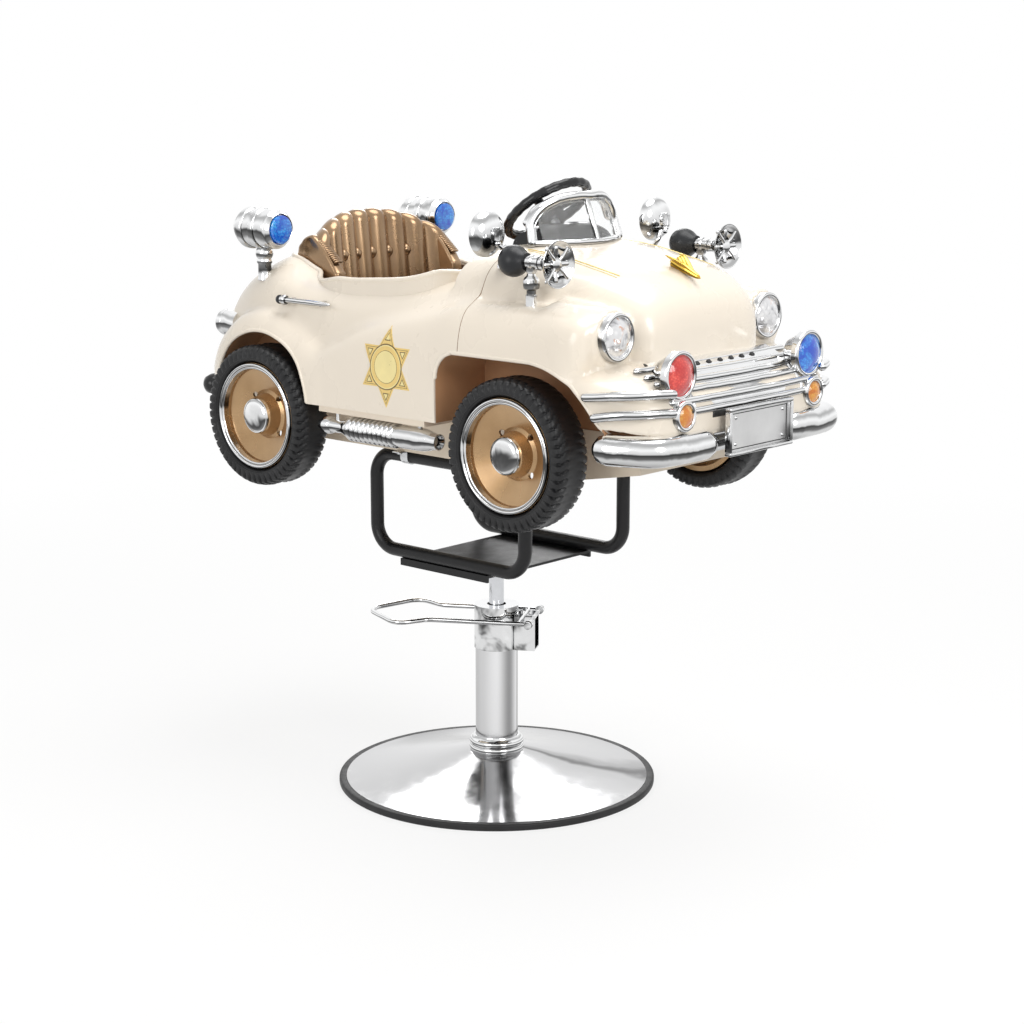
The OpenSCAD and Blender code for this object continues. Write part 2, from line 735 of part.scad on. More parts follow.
rear_fender_shares = [[0.30, 0.745, 0.19, -0.25, 0.33], [0.40, 0.75, 0.20, -0.25, 0.455],
  [0.50, 0.75, 0.205, 0.0, 0.525], [0.567, 0.75, 0.205, 0.0, 0.54],
  [0.665, 0.745, 0.205, 0.0, 0.50], [0.75, 0.72, 0.20, 0.0, 0.39], [0.815, 0.68, 0.18, 0.0, 0.22],
  [0.855, 0.62, 0.15, 0.02, 0.10]];

section_n = 28;

// One thin section of a loft, drawn in by inset, its lower edge lowered by drop
module section(s, power, inset, drop) {
  low = pz(s[3]) - drop;
  high = pz(s[4]) - inset;
  translate([px(s[1]), py(s[0]), (low + high)/2]) rotate([90, 0, 0])
    linear_extrude(height=slice_t, center=true)
      polygon(oval(px(s[2]) - inset, (high - low)/2, power, section_n));
}

module loft(shares, power, inset, drop, ends) {
  n = len(shares);
  for (i = [0:n-2]) hull() {
    translate([0, i == 0 ? inset*ends : 0, 0]) section(shares[i], power, inset, drop);
    translate([0, i == n-2 ? -inset*ends : 0, 0]) section(shares[i+1], power, inset, drop);
  }
}

pod_at_share = [0.69, -0.745, 0.567];
pod_tail_share = 0.17;

module pod(inset) {
  at = place(pod_at_share);
  tail = pod_tail_share*half_l;
  r = headlight_d/2 + shell_t - inset;
  hull() {
    translate(at + [0, inset, 0]) rotate([-90, 0, 0]) cylinder(h=shell_t, r=r, $fn=32);
    translate(at + [0, tail, 0]) rotate([-90, 0, 0]) cylinder(h=shell_t, r=r*1.15, $fn=32);
  }
}

// The whole body outline, drawn in by inset; drop opens it downwards
module body_form(inset, drop) {
  loft(hood_shares, 3.2, inset, drop, 1);
  loft(apron_shares, 4, inset, drop, 1);
  loft(tub_shares, 4.1, inset, drop, 1);
  both_sides() {
    loft(pontoon_shares, 3.2, inset, drop, 1);
    loft(rear_fender_shares, 2.8, inset, drop, 1);
    pod(inset);
  }
}

arch_half_l = 190;
arch_front_r = 175;
arch_rear_r = 46;
arch_rise_share = 0.42;
rear_arch_r = tyre_d/2 - 1;
rear_arch_rise = 27;

// Side views of the wheel openings, larger by grow; x stands for the way along the car
module front_arch(grow) {
  top = pz(arch_rise_share);
  front = -front_reach - arch_half_l - over;
  rear = -front_reach + arch_half_l - over;
  hull() {
    translate([front + arch_front_r, top - arch_front_r]) circle(r=arch_front_r + grow, $fn=48);
    translate([rear - arch_rear_r, top - arch_rear_r]) circle(r=arch_rear_r + grow, $fn=48);
    translate([front - grow, pan_z - over]) square([rear - front + 2*grow, over]);
  }
}

module rear_arch(grow) {
  hull() {
    translate([rear_reach, axle_z + rear_arch_rise]) circle(r=rear_arch_r + grow, $fn=48);
    translate([rear_reach - rear_arch_r - grow, pan_z - over])
      square([2*(rear_arch_r + grow), over]);
  }
}

module along_side(x) {
  translate([x, 0, 0]) rotate([90, 0, 90]) children();
}

// Openings round the wheels, cut from the outside in as far as the chassis pan
module wheel_arches() {
  both_sides() along_side(pan_half + clear) linear_extrude(height=half_w) {
    front_arch(0);
    rear_arch(0);
  }
}

liner_t = 3;

// Cup round a wheel: children are the wheel opening's outline, a wall larger and a gap larger
module liner(inside) {
  difference() {
    along_side(inside) linear_extrude(height=half_w) children(0);
    along_side(inside + liner_t) linear_extrude(height=half_w) children(1);
  }
}

// Housings of all four wheels, moulded with the shells
module wheel_housings() {
  both_sides() difference() {
    intersection() {
      union() {
        liner(pan_half - shell_t) { front_arch(liner_t + clear); front_arch(clear); }
        liner(px(riser_half_share) + clear) { rear_arch(liner_t + clear); rear_arch(clear); }
      }
      body_form(shell_t/2, 3*shell_t);
    }
    translate([-over, -half_l, 0]) cube([half_w + over, car_l, sill_z + clear]);
    fitting_holes();
  }
}

cockpit_share = [0.168, 0.33, 0.74];
cockpit_power = 4;
seat_well_share = [0.48, 0.145];

// The opening that the child climbs in through
module cockpit_cut() {
  translate([0, py(cockpit_share.x), pz(0.3)]) linear_extrude(height=body_h)
    polygon(oval(px(cockpit_share.z), py(cockpit_share.y), cockpit_power, section_n));
  translate([0, py(seat_well_share.x), pz(0.3)]) linear_extrude(height=body_h)
    polygon(oval(seat_w/2 + 2*flute_r/2, py(seat_well_share.y), 6, section_n));
}

seam_y_share = -0.286;
room_share = 0.275;

module body_shell() {
  difference() {
    body_form(0, 0);
    body_form(shell_t, 3*shell_t);
    wheel_arches();
    cockpit_cut();
    on_shaft(0) translate([0, 0, -half_l]) cylinder(h=half_l, r=shaft_d);
    fitting_holes();
    translate([-pan_half - 2*clear, py(pan_front_share), 0])
      cube([2*(pan_half + 2*clear), py(pan_rear_share) - py(pan_front_share), pz(room_share)]);
    translate([-half_w, -half_l, 0]) cube([car_w, car_l, sill_z + clear]);
  }
}

// Holes in the shells where lamps, horns and bumper stays pass through
module fitting_holes() {
  both_sides() {
    lamp_seats(32);
    facing_front(horn_share) translate([0, -horn_throat, -bell_l - horn_post_y])
      rotate([-90, 0, 0]) cylinder(h=horn_throat, d=horn_post_d + 4*clear, $fn=24);
    facing_front(spot_share) translate([0, -spot_throat, -spot_post_y])
      rotate([-90, 0, 0]) cylinder(h=spot_throat, d=spot_post_d + 4*clear, $fn=24);
    translate(place(tail_share)) rotate([-90, 0, 0])
      translate([0, 0, -clear]) cylinder(h=tail_l, d=tail_d + 4*clear, $fn=32);
    translate([px(bumper_stay_share), 0, pz(bumper_z_share)]) rotate([90, 0, 0])
      cylinder(h=half_l, d=stay_d + 4*clear, $fn=24);
    translate([px(bumper_stay_share), 0, pz(rear_bar_share)]) rotate([-90, 0, 0])
      cylinder(h=half_l, d=stay_d + 4*clear, $fn=24);
  }
}

module tub_shell() {
  color("antiquewhite") intersection() {
    union() {
      body_shell();
      wheel_housings();
    }
    translate([-car_w, py(seam_y_share) + clear/2, 0]) cube([2*car_w, car_l, 2*top_z]);
  }
}

module front_shell() {
  color("antiquewhite") intersection() {
    union() {
      body_shell();
      wheel_housings();
    }
    translate([-car_w, py(seam_y_share) - clear/2 - car_l, 0]) cube([2*car_w, car_l, 2*top_z]);
  }
}

// Seat: six flutes between side bolsters, with a row of buttons

flute_n = 6;
flute_pitch = seat_w/7.3;
flute_r = flute_pitch*0.58;
seat_y_share = 0.573;
seat_top_share = 1.105;
seat_low_share = 0.131;
seat_lean = 6;
seat_board = 14;
seat_curve_share = 0.06;
flute_steps = 6;
line_arcs = 6;
crown_share = 0.13;
button_level_share = 0.825;
button_d = 17;
arm_peak_share = [0.517, 0.965];
arm_toe_share = [0.40, 0.77];
arm_in_share = 0.4657;
arm_t = 26;

// Height of the seat's outline at a distance x from its middle
function seat_edge(x) = pz(seat_top_share) - crown_share*body_h*pow(abs(x)/(seat_w/2), 2.4);
function seat_face(x) = py(seat_y_share) - seat_curve_share*half_l*pow(abs(x)/(seat_w/2), 2);

// How far the fluted face stands out at a distance x from the seat's middle
function flute_bulge(x) = let (s = 2*(x/flute_pitch - floor(x/flute_pitch)) - 1)
  flute_r*sqrt(1 - 0.74*s*s);

// Outline of the seat back at x: up the face, round the top and down the back
function seat_line(x) = let (
    low = pz(seat_low_share), b = flute_bulge(x), back = 0.8*flute_r, r = (b + back)/2,
    top = seat_edge(x) - (flute_r - b)/2, lean = tan(seat_lean), face = seat_face(x),
    mid_y = face - lean*r + (back - b)/2)
  concat([[x, face - lean*(top - low) - b, low]],
    [[x, face - lean*(top - low)/2 - b, (top + low)/2]],
    [for (k = [0:line_arcs]) let (a = 180 - 180*k/line_arcs)
      [x, mid_y + r*cos(a), top - r + r*sin(a)]],
    [[x, face - lean*(top - low) + back, low]]);

module fluted_back() {
  cols = (flute_n + 2)*flute_steps;
  wide = (flute_n + 2)*flute_pitch;
  m = line_arcs + 4;
  polyhedron(
    points=[for (i = [0:cols]) each seat_line((i/cols - 0.5)*wide)],
    faces=concat(
      [[for (k = [m-1:-1:0]) k], [for (k = [0:m-1]) cols*m + k]],
      [for (i = [0:cols-1]) for (k = [0:m-1]) let (q = (k + 1) % m)
        [i*m + k, i*m + q, (i+1)*m + q]],
      [for (i = [0:cols-1]) for (k = [0:m-1]) let (q = (k + 1) % m)
        [i*m + k, (i+1)*m + q, (i+1)*m + k]]));
}

module seat_back() {
  low = pz(seat_low_share);
  level = pz(button_level_share);
  back_y = py(seat_y_share);
  peak = [py(arm_peak_share.x), pz(arm_peak_share.y) - arm_t/2];
  toe = [py(arm_toe_share.x) + arm_t/2, pz(arm_toe_share.y) - arm_t/2];
  color([0.55, 0.42, 0.28]) {
    fluted_back();
    for (i = [0:flute_n-2]) {
      x = (i - (flute_n - 2)/2)*flute_pitch;
      y = seat_face(x) - tan(seat_lean)*(seat_edge(x) - level) - flute_r*0.51;
      hull() for (s = [-1, 1]) translate([x + s*button_d/9, y, level])
        sphere(d=button_d, $fn=14);
    }
    both_sides() for (side = [[peak, toe], [peak, [back_y, peak.y - arm_t/2]]]) hull()
      for (p = side) for (z = [low + arm_t/2, p.y])
        translate([arm_in_share*seat_w + arm_t/2, p.x, z]) sphere(d=arm_t, $fn=16);
  }
}

cushion_share = [0.266, 0.141, 0.43];
cushion_h = 42;

module cushion_slice(z, grow) {
  translate([0, py(cushion_share.x), z]) linear_extrude(height=slice_t)
    polygon(oval(px(cushion_share.z) - grow, py(cushion_share.y) - grow, 6, 32));
}

// Crowned pad: its sides draw in under the top and it lies flat on the riser
module seat_cushion() {
  foot = pz(riser_top_share);
  levels_share = [0, 0.2, 0.55, 0.8, 0.93, 1];
  draw_in_share = [0.25, 0.05, 0, 0.18, 0.5, 1.3];
  draw = cushion_h/2;
  color([0.55, 0.42, 0.28]) for (i = [0:len(levels_share)-2]) hull() {
    cushion_slice(foot + levels_share[i]*cushion_h, draw_in_share[i]*draw);
    cushion_slice(foot + levels_share[i+1]*cushion_h, draw_in_share[i+1]*draw);
  }
}

// Dashboard and windshield

dash_share = [-0.268, 0.965];
dash_r = 40;
dash_half_share = 0.30;

module dashboard() {
  at = [0, py(dash_share.x), pz(dash_share.y)];
  color([0.12, 0.12, 0.12]) difference() {
    translate(at) rotate([0, 90, 0])
      cylinder(h=2*px(dash_half_share), r=dash_r, center=true);
    translate([-car_w, at.y - car_l, pz(1.0) - body_h]) cube([2*car_w, 2*car_l, body_h + shell_t]);
    on_shaft(0) translate([0, 0, -half_l]) cylinder(h=half_l, d=shaft_d + 2*clear);
  }
}

screen_gap = 39.464;
screen_half_share = 0.37;
screen_h = 78;
screen_foot_share = 1.004;
screen_rake = 20;
screen_bar = 16;
screen_sweep = 45;
pane_t = 4;

// Corner points of the windshield: foot, shoulder and crown on one side
function screen_at(x, up) = [x, py(dash_share.x) - dash_r - screen_gap + up*tan(screen_rake)
  + screen_sweep*pow(abs(x)/px(screen_half_share), 2), pz(screen_foot_share) + up];

module windshield_frame() {
  half = px(screen_half_share);
  crown = screen_h;
  shoulder = screen_h*0.72;
  bow = [screen_at(half*0.45, crown*0.97), screen_at(half*0.85, shoulder),
    screen_at(half, shoulder*0.45), screen_at(half*1.05, 0)];
  n = len(bow);
  color("silver") {
    smooth_bar(concat([for (i = [n-1:-1:0]) [-bow[i].x, bow[i].y, bow[i].z]],
      [screen_at(0, crown)], bow), screen_bar);
    smooth_bar([for (t = [-1.05, -0.5, 0, 0.5, 1.05]) screen_at(t*half, 0)], screen_bar*0.7);
    smooth_bar([screen_at(0, 0), screen_at(0, crown)], screen_bar*0.6);
  }
}

module windshield_panes() {
  half = px(screen_half_share);
  wide = half*0.84;
  tall = screen_h*0.70;
  turn = atan2(screen_sweep*0.68, wide);
  color([0.8, 0.9, 0.95, 0.5]) both_sides()
    translate(screen_at(0, 0) + [0, screen_bar*0.1, 0]) rotate([-screen_rake, 0, 0])
      rotate([0, 0, turn]) translate([screen_bar*0.32, -pane_t/2, screen_bar*0.36])
        linear_extrude(height=tall) square([wide - screen_bar*0.2, pane_t]);
}

// Front end

// Place of each slat along the car and its height, down the face of the nose
slat_shares = [[-0.832, 0.389], [-0.868, 0.359], [-0.903, 0.331], [-0.932, 0.292],
  [-0.954, 0.242], [-0.961, 0.185]];
grille_bar = 13;
grille_half = px(0.6667);
grille_depth = 8;
grille_bow = (pow(grille_half, 2) + pow(grille_depth, 2))/(2*grille_depth);
side_bar_d = 16;

rib_share = 0.5;
side_bar_shares = [
  [[0.955, -0.76, 0.27], [0.93, -0.85, 0.29], [0.85, -0.915, 0.30], [0.70, -0.955, 0.30]],
  [[0.955, -0.7915, 0.165], [0.93, -0.85, 0.185], [0.85, -0.915, 0.195], [0.70, -0.955, 0.195]]];

// Centre line of slat i at a distance x from the middle
function slat_at(x, i) = [x,
  py(slat_shares[i].x) + x*x/(2*grille_bow), pz(slat_shares[i].y)];

module grille() {
  sweep = 2*asin(grille_half/grille_bow);
  plate_low = plate_mid - plate_tall/2 - plate_rim - clear;
  color("silver") difference() {
    union() {
      for (i = [0:len(slat_shares)-1])
        translate(slat_at(0, i) + [0, grille_bow, 0]) rotate([0, 0, -90 - sweep/2])
          rotate_extrude(angle=sweep, $fn=720) translate([grille_bow, 0])
            circle(d=grille_bar, $fn=14);
      both_sides() {
        smooth_bar([for (i = [0:len(slat_shares)-1]) slat_at(px(rib_share), i)], grille_bar*0.6);
        for (bar = side_bar_shares) smooth_bar([for (s = bar) place(s)], side_bar_d);
      }
    }
    both_sides() lamp_seats(32);
    translate([-plate_w, -half_l - over, plate_low])
      cube([2*plate_w, plate_deep + over + clear, plate_tall + 2*(plate_rim + clear)]);
  }
}

bumper_d = 52;
bumper_z_share = -0.01;
bumper_stay_share = 0.35;
stay_d = 21;

module front_bumper() {
  z = pz(bumper_z_share);
  front = -half_l + bumper_d/2;
  back = front + bumper_d/4;
  color("silver") {
    both_sides() smooth_bar([[px(0.42), front + shell_t, z], [px(0.70), front + 2*shell_t, z],
      [px(0.84), py(-0.89), z], [px(0.90), py(-0.815), z]], bumper_d);
    smooth_bar([[-px(0.44), back, z], [px(0.44), back, z]], bumper_d*0.7);
    both_sides()
      smooth_bar([[px(bumper_stay_share), back, z],
        [px(bumper_stay_share), py(pan_front_share) - stay_d/2 - clear, z]], stay_d);
  }
}

plate_w = 166;
plate_tall = 68;
plate_rim = 6;
plate_deep = 12;
plate_mid = pz(0.045);
plate_stud_d = 8;
plate_stud_share = [0.14, 0.14];

module licence_plate() {
  mid = plate_mid;
  y = -half_l;
  color("silver") {
    translate([-plate_w/2, y + plate_deep/2, mid - plate_tall/2])
      cube([plate_w, plate_deep/2, plate_tall]);
    difference() {
      translate([-plate_w/2 - plate_rim, y, mid - plate_tall/2 - plate_rim])
        cube([plate_w + 2*plate_rim, plate_deep, plate_tall + 2*plate_rim]);
      translate([-plate_w/2, y - over, mid - plate_tall/2])
        cube([plate_w, plate_deep + 2*over, plate_tall]);
    }
    both_sides() rod([px(plate_stud_share.x), y + plate_deep/2, pz(plate_stud_share.y)],
      [px(plate_stud_share.x), py(apron_shares[0][0]) - slice_t/2 - clear, pz(plate_stud_share.y)],
      plate_stud_d);
  }
}

// Lamps: a ring with a lens in it, facing the front

lamp_gap = 1.4;
lamp_tuck = 1.9;
// The amber lamps stay clear of the bumper and the signal lamps clear of the amber ones
amber_level_share = max(0.168, bumper_z_share + ((bumper_d + amber_d)/2 + lamp_gap)/body_h);
signal_level_share = max(0.385, amber_level_share + ((signal_d + amber_d)/2 - lamp_tuck)/body_h);
amber_at_share = [0.60, -0.945, amber_level_share];
signal_at_share = [0.60, -0.925, signal_level_share];
ring_t = 4;
lens_bulge = 12;

module facing_front(at_share) {
  translate(place(at_share)) rotate([90, 0, 0]) children();
}

module ring(d, deep) {
  difference() {
    cylinder(h=deep, d=d);
    translate([0, 0, ring_t]) cylinder(h=deep, d=d - 2*ring_t);
  }
}

module lens(d, deep) {
  translate([0, 0, ring_t])
    domed(d - 2*ring_t - 2*clear, deep - ring_t, lens_bulge*d/headlight_d);
}

ring_deep = 14;

// Tapered buckets of the signal and amber lamps, larger by grow
module lamp_buckets(grow, n) {
  facing_front(signal_at_share) translate([0, 0, -2*ring_deep - grow])
    cylinder(h=2*ring_deep + 2*grow, d1=signal_d*0.55 + 2*grow, d2=signal_d*0.96 + 2*grow, $fn=n);
  facing_front(amber_at_share) translate([0, 0, -ring_deep - grow])
    cylinder(h=ring_deep + 2*grow, d1=amber_d*0.7 + 2*grow, d2=amber_d*0.96 + 2*grow, $fn=n);
}

// Room for the buckets and for the rings in front of them
module lamp_seats(n) {
  lamp_buckets(2*clear, n);
  facing_front(signal_at_share) cylinder(h=2*ring_deep, d=signal_d + 4*clear, $fn=n);
  facing_front(amber_at_share) cylinder(h=2*ring_deep, d=amber_d + 4*clear, $fn=n);
}

module lamp_bezels() {
  color("silver") both_sides() {
    facing_front(pod_at_share) ring(headlight_d, ring_deep);
    facing_front(signal_at_share) ring(signal_d, ring_deep);
    facing_front(amber_at_share) ring(amber_d, ring_deep);
    lamp_buckets(0, 64);
  }
}

module headlight_lenses() {
  color([0.9, 0.92, 0.95, 0.6]) both_sides() facing_front(pod_at_share)
    lens(headlight_d, ring_deep);
}

module red_lens() {
  color("red") mirror([1, 0, 0]) facing_front(signal_at_share) lens(signal_d, ring_deep);
}

spot_share = [0.727, 0.562, 1.01];
spot_l = 118;
spot_lens_d = spot_d*0.68;

module blue_lenses() {
  color("blue") {
    facing_front(signal_at_share) lens(signal_d, ring_deep);
    both_sides() facing_front(spot_share) translate([0, 0, -shell_t])
      cylinder(h=2*shell_t, d=spot_lens_d);
  }
}

module amber_lenses() {
  color("orange") both_sides() facing_front(amber_at_share) lens(amber_d, ring_deep);
}

// Ornament, horns, spot lamps, mirrors

module hood_ornament() {
  at = [0, py(-0.72), pz(0.865)];
  wing = 30;
  body_r = 8;
  color("gold") translate(at) rotate([14, 0, 0]) {
    hull() {
      translate([0, -wing, 0]) sphere(r=body_r*0.7, $fn=14);
      translate([0, wing, body_r]) sphere(r=body_r, $fn=14);
    }
    both_sides() hull() {
      translate([0, -wing*0.5, body_r]) sphere(r=body_r*0.6, $fn=14);
      translate([wing*0.7, wing*1.1, 2.4*body_r]) sphere(r=body_r*0.35, $fn=14);
      translate([wing*0.3, wing, body_r]) sphere(r=body_r*0.5, $fn=14);
    }
  }
}

mirror_share = [0.757, -0.352, 1.082];
bell_l = 42;
neck_d = 22;
horn_wall = 1.5;
bell_steps = 8;
horn_post_d = 20;
horn_foot_share = 0.69;
bulb_back = 100;
horn_gap = 13.3;
// The horns stand in front of the mirrors
horn_share = [0.77, mirror_share.y - (bulb_back + bulb_d/2 + horn_gap)/half_l, 0.945];
horn_post_y = bell_l*0.45;
horn_throat = (horn_share.z - horn_foot_share)*body_h;

function bell_line(wall) = [for (i = [0:bell_steps]) let (t = i/bell_steps)
  [neck_d/2 - wall + (horn_d - neck_d)/2*pow(t, 2.2), bell_l*t]];

module horn_trumpets() {
  color("silver") both_sides() facing_front(horn_share) {
    translate([0, 0, -bell_l]) rotate_extrude($fn=72) polygon(concat(bell_line(0),
      [for (i = [bell_steps:-1:1]) bell_line(horn_wall)[i]], [[0, bell_l/bell_steps], [0, 0]]));
    translate([0, 0, -bulb_back + bulb_d/2]) cylinder(h=bulb_back - bulb_d/2 - bell_l, d=neck_d);
    translate([0, -horn_throat, -bell_l - horn_post_y]) rotate([-90, 0, 0])
      cylinder(h=horn_throat, d=horn_post_d);
    translate([0, 0, -bell_l*0.5]) cylinder(h=bell_l*0.42, d=neck_d*0.8);
    for (a = [0:90:270]) rotate([0, 0, a]) translate([0, -horn_wall, -horn_wall*3])
      cube([horn_d/2 - horn_wall/2, 2*horn_wall, 2*horn_wall]);
  }
}

module horn_bulbs() {
  color([0.12, 0.12, 0.13]) both_sides() facing_front(horn_share)
    difference() {
      union() {
        translate([0, 0, -bulb_back]) sphere(d=bulb_d);
        translate([0, 0, -bulb_back]) cylinder(h=bulb_d*0.55, d=neck_d + 2*ring_t);
      }
      translate([0, 0, -bulb_back + bulb_d/2 - clear])
        cylinder(h=bulb_d, d=neck_d + 2*clear);
    }
}

spot_post_d = spot_d*0.32;
spot_post_y = spot_l*0.40;
spot_foot_share = 0.69;
spot_throat = (spot_share.z - spot_foot_share)*body_h;

module spot_lamps() {
  r = spot_d/2;
  color("silver") both_sides() facing_front(spot_share) {
    difference() {
      translate([0, 0, -spot_l]) rotate_extrude($fn=72) polygon([
        [0, 0], [r*0.35, 0], [r*0.5, spot_l*0.06], [r*0.8, spot_l*0.2], [r, spot_l*0.30],
        [r, spot_l*0.36], [r*0.93, spot_l*0.38], [r*0.93, spot_l*0.56], [r, spot_l*0.58],
        [r, spot_l*0.64], [r*0.95, spot_l*0.66], [r*0.95, spot_l*0.84], [r*0.8, spot_l*0.96],
        [r*0.74, spot_l], [0, spot_l]]);
      translate([0, 0, -shell_t - clear]) cylinder(h=3*shell_t, d=spot_lens_d + 2*clear);
    }
    translate([0, -spot_throat, -spot_post_y]) rotate([-90, 0, 0])
      cylinder(h=spot_throat, d=spot_post_d);
    translate([0, -r - spot_d*0.12, -spot_post_y]) sphere(d=spot_d*0.44);
  }
}

mirror_pin_d = 8;
mirror_foot_share = [0.66, -0.335, 0.90];
mirror_arm_d = 9;
mirror_deep = 26;
socket_h = 18;

module mirror_arms() {
  at = place(mirror_share);
  foot = place(mirror_foot_share);
  under = at - [0, 0, socket_h/2 + 0.63*mirror_arm_d + clear];
  color("silver") both_sides() {
    knee = foot + [0, -1.8*mirror_arm_d, 2.5*mirror_arm_d];
    rod(foot, knee, mirror_arm_d);
    rod(knee, under, mirror_arm_d);
    for (p = [knee, under]) translate(p) sphere(d=1.25*mirror_arm_d);
    translate(foot) cylinder(h=mirror_arm_d, d1=3*mirror_arm_d, d2=1.5*mirror_arm_d);
    translate(under) cylinder(h=socket_h + mirror_arm_d, d=mirror_pin_d);
  }
}

module mirror_head(side) {
  at = place(mirror_share);
  boss = 2*mirror_pin_d;
  color("silver") mirror([side < 0 ? 1 : 0, 0, 0]) translate(at) difference() {
    union() {
      translate([0, 0, -socket_h/2]) cylinder(h=socket_h, d=boss);
      translate([0, mirror_deep + mirror_pin_d/2, 0]) rotate([90, 0, 0])
        domed(mirror_d, mirror_arm_d/3, mirror_deep - mirror_arm_d/3);
    }
    cylinder(h=2*socket_h, d=mirror_pin_d + 2*fit, center=true);
  }
}

// Side and rear fittings

pipe_x_share = 0.89;
pipe_d = 24;
muffler_d = 46;
muffler_n = 10;
pipe_rear_gap = 20.4;
pipe_front_gap = 43.6;
// Along the exhaust, from its mouth to its tail
muffler_share = [0.337, 0.7347];
pipe_level_share = -0.12;
hanger_d = 8;

pipe_front = tyre_d/2 + pipe_front_gap - front_reach;
pipe_rear = rear_reach - tyre_d/2 - pipe_rear_gap;
function pipe_y(share) = pipe_front + share*(pipe_rear - pipe_front);

// Exhaust of one side: knuckled tail, ribbed muffler, smooth can and mouth
module exhaust() {
  m_front = pipe_y(muffler_share.x);
  m_rear = pipe_y(muffler_share.y);
  can = m_front - pipe_front;
  tail = pipe_rear - m_rear;
  pitch = (m_rear - m_front)/muffler_n;
  r = muffler_d/2;
  translate([px(pipe_x_share), 0, pz(pipe_level_share)]) {
    rotate([-90, 0, 0]) rotate_extrude($fn=48) polygon(concat(
      [[0, pipe_front], [r*0.62, pipe_front], [r*0.62, pipe_front + can*0.116],
       [r*0.85, pipe_front + can*0.324], [r*0.9, m_front - can*0.116]],
      [for (i = [0:muffler_n-1]) each [[r*0.84, m_front + i*pitch], [r, m_front + (i+0.3)*pitch],
        [r, m_front + (i+0.7)*pitch]]],
      [[r*0.84, m_rear], [pipe_d/2, m_rear + tail*0.276], [pipe_d/2, m_rear + tail*0.54],
       [pipe_d*0.68, m_rear + tail*0.693], [pipe_d*0.68, m_rear + tail*0.847],
       [pipe_d/2, pipe_rear], [0, pipe_rear]]));
    for (y = [m_rear + tail*0.46, pipe_front + can*0.463]) translate([0, y, 0])
      cylinder(h=pz(0) - wing_t - pz(pipe_level_share), d=hanger_d);
  }
}

module exhaust_pipes() {
  color("silver") both_sides() exhaust();
}

handle_share = [0.855, 0.50, 0.29];
handle_front_share = [0.862, 0.62];
handle_d = 15;

module door_handles() {
  rear = [px(handle_share.x), py(handle_share.y), pz(handle_share.z + handle_front_share.y/2)];
  front = [px(handle_front_share.x), py(handle_share.z), pz(handle_share.z + handle_front_share.y/2)];
  color("silver") both_sides() {
    rod(front, rear, handle_d*0.8);
    translate(front) sphere(d=handle_d*0.8);
    translate(rear) sphere(d=1.3*handle_d);
    for (t = [0.15, 0.8]) translate(front + t*(rear - front)) rotate([0, -90, 0])
      cylinder(h=handle_d, d=handle_d*0.7);
  }
}

tail_share = [0.66, 0.79, 0.385];
tail_d = 50;
tail_l = 62;

module tail_lamps() {
  color("silver") both_sides() translate(place(tail_share)) rotate([-90, 0, 0])
    domed(tail_d, tail_l*0.75, tail_l*0.25);
}

rear_bar_d = 44;
rear_bar_share = -0.04;

module rear_bumper() {
  z = pz(rear_bar_share);
  y = half_l - rear_bar_d/2;
  color([0.1, 0.1, 0.1]) {
    rod([-px(0.62), y, z], [px(0.62), y, z], rear_bar_d);
    both_sides() translate([px(0.62), y, z]) sphere(d=rear_bar_d);
    both_sides() rod([px(bumper_stay_share), y, z],
      [px(bumper_stay_share), py(pan_rear_share) + clear, z], stay_d);
  }
}

base_plate();
base_rim();
floor_plate();
base_bolts();
column_collar();
column_cover();
pump_cylinder();
pump_head();
pedal_bracket();
pump_pedal();
pump_plunger();
piston_rod();
mounting_plate();
frame_loop(-1);  // frame_loop_right
frame_loop(1);  // frame_loop_left
frame_straps();
chassis_pan();
front_axle();
rear_axle();
tub_shell();
front_shell();
seat_back();
seat_cushion();
dashboard();
windshield_frame();
windshield_panes();
grille();
front_bumper();
licence_plate();
lamp_bezels();
headlight_lenses();
red_lens();
blue_lenses();
amber_lenses();
hood_ornament();
horn_trumpets();
horn_bulbs();
spot_lamps();
exhaust_pipes();
door_handles();
tail_lamps();
rear_bumper();
steering_wheel();
steering_shaft();
horn_button();
tie_rod();
knuckle(-1);  // knuckle_right
knuckle(1);  // knuckle_left
mirror_arms();
mirror_head(-1);  // mirror_right
mirror_head(1);  // mirror_left
at_wheel(-front_reach, -1) tyre();  // tyre_front_right
at_wheel(-front_reach, -1) disc();  // disc_front_right
at_wheel(-front_reach, -1) trim();  // trim_front_right
at_wheel(-front_reach, 1) tyre();  // tyre_front_left
at_wheel(-front_reach, 1) disc();  // disc_front_left
at_wheel(-front_reach, 1) trim();  // trim_front_left
both_sides() at_wheel(rear_reach, 1) tyre();  // tyres_rear
both_sides() at_wheel(rear_reach, 1) disc();  // discs_rear
both_sides() at_wheel(rear_reach, 1) trim();  // trims_rear
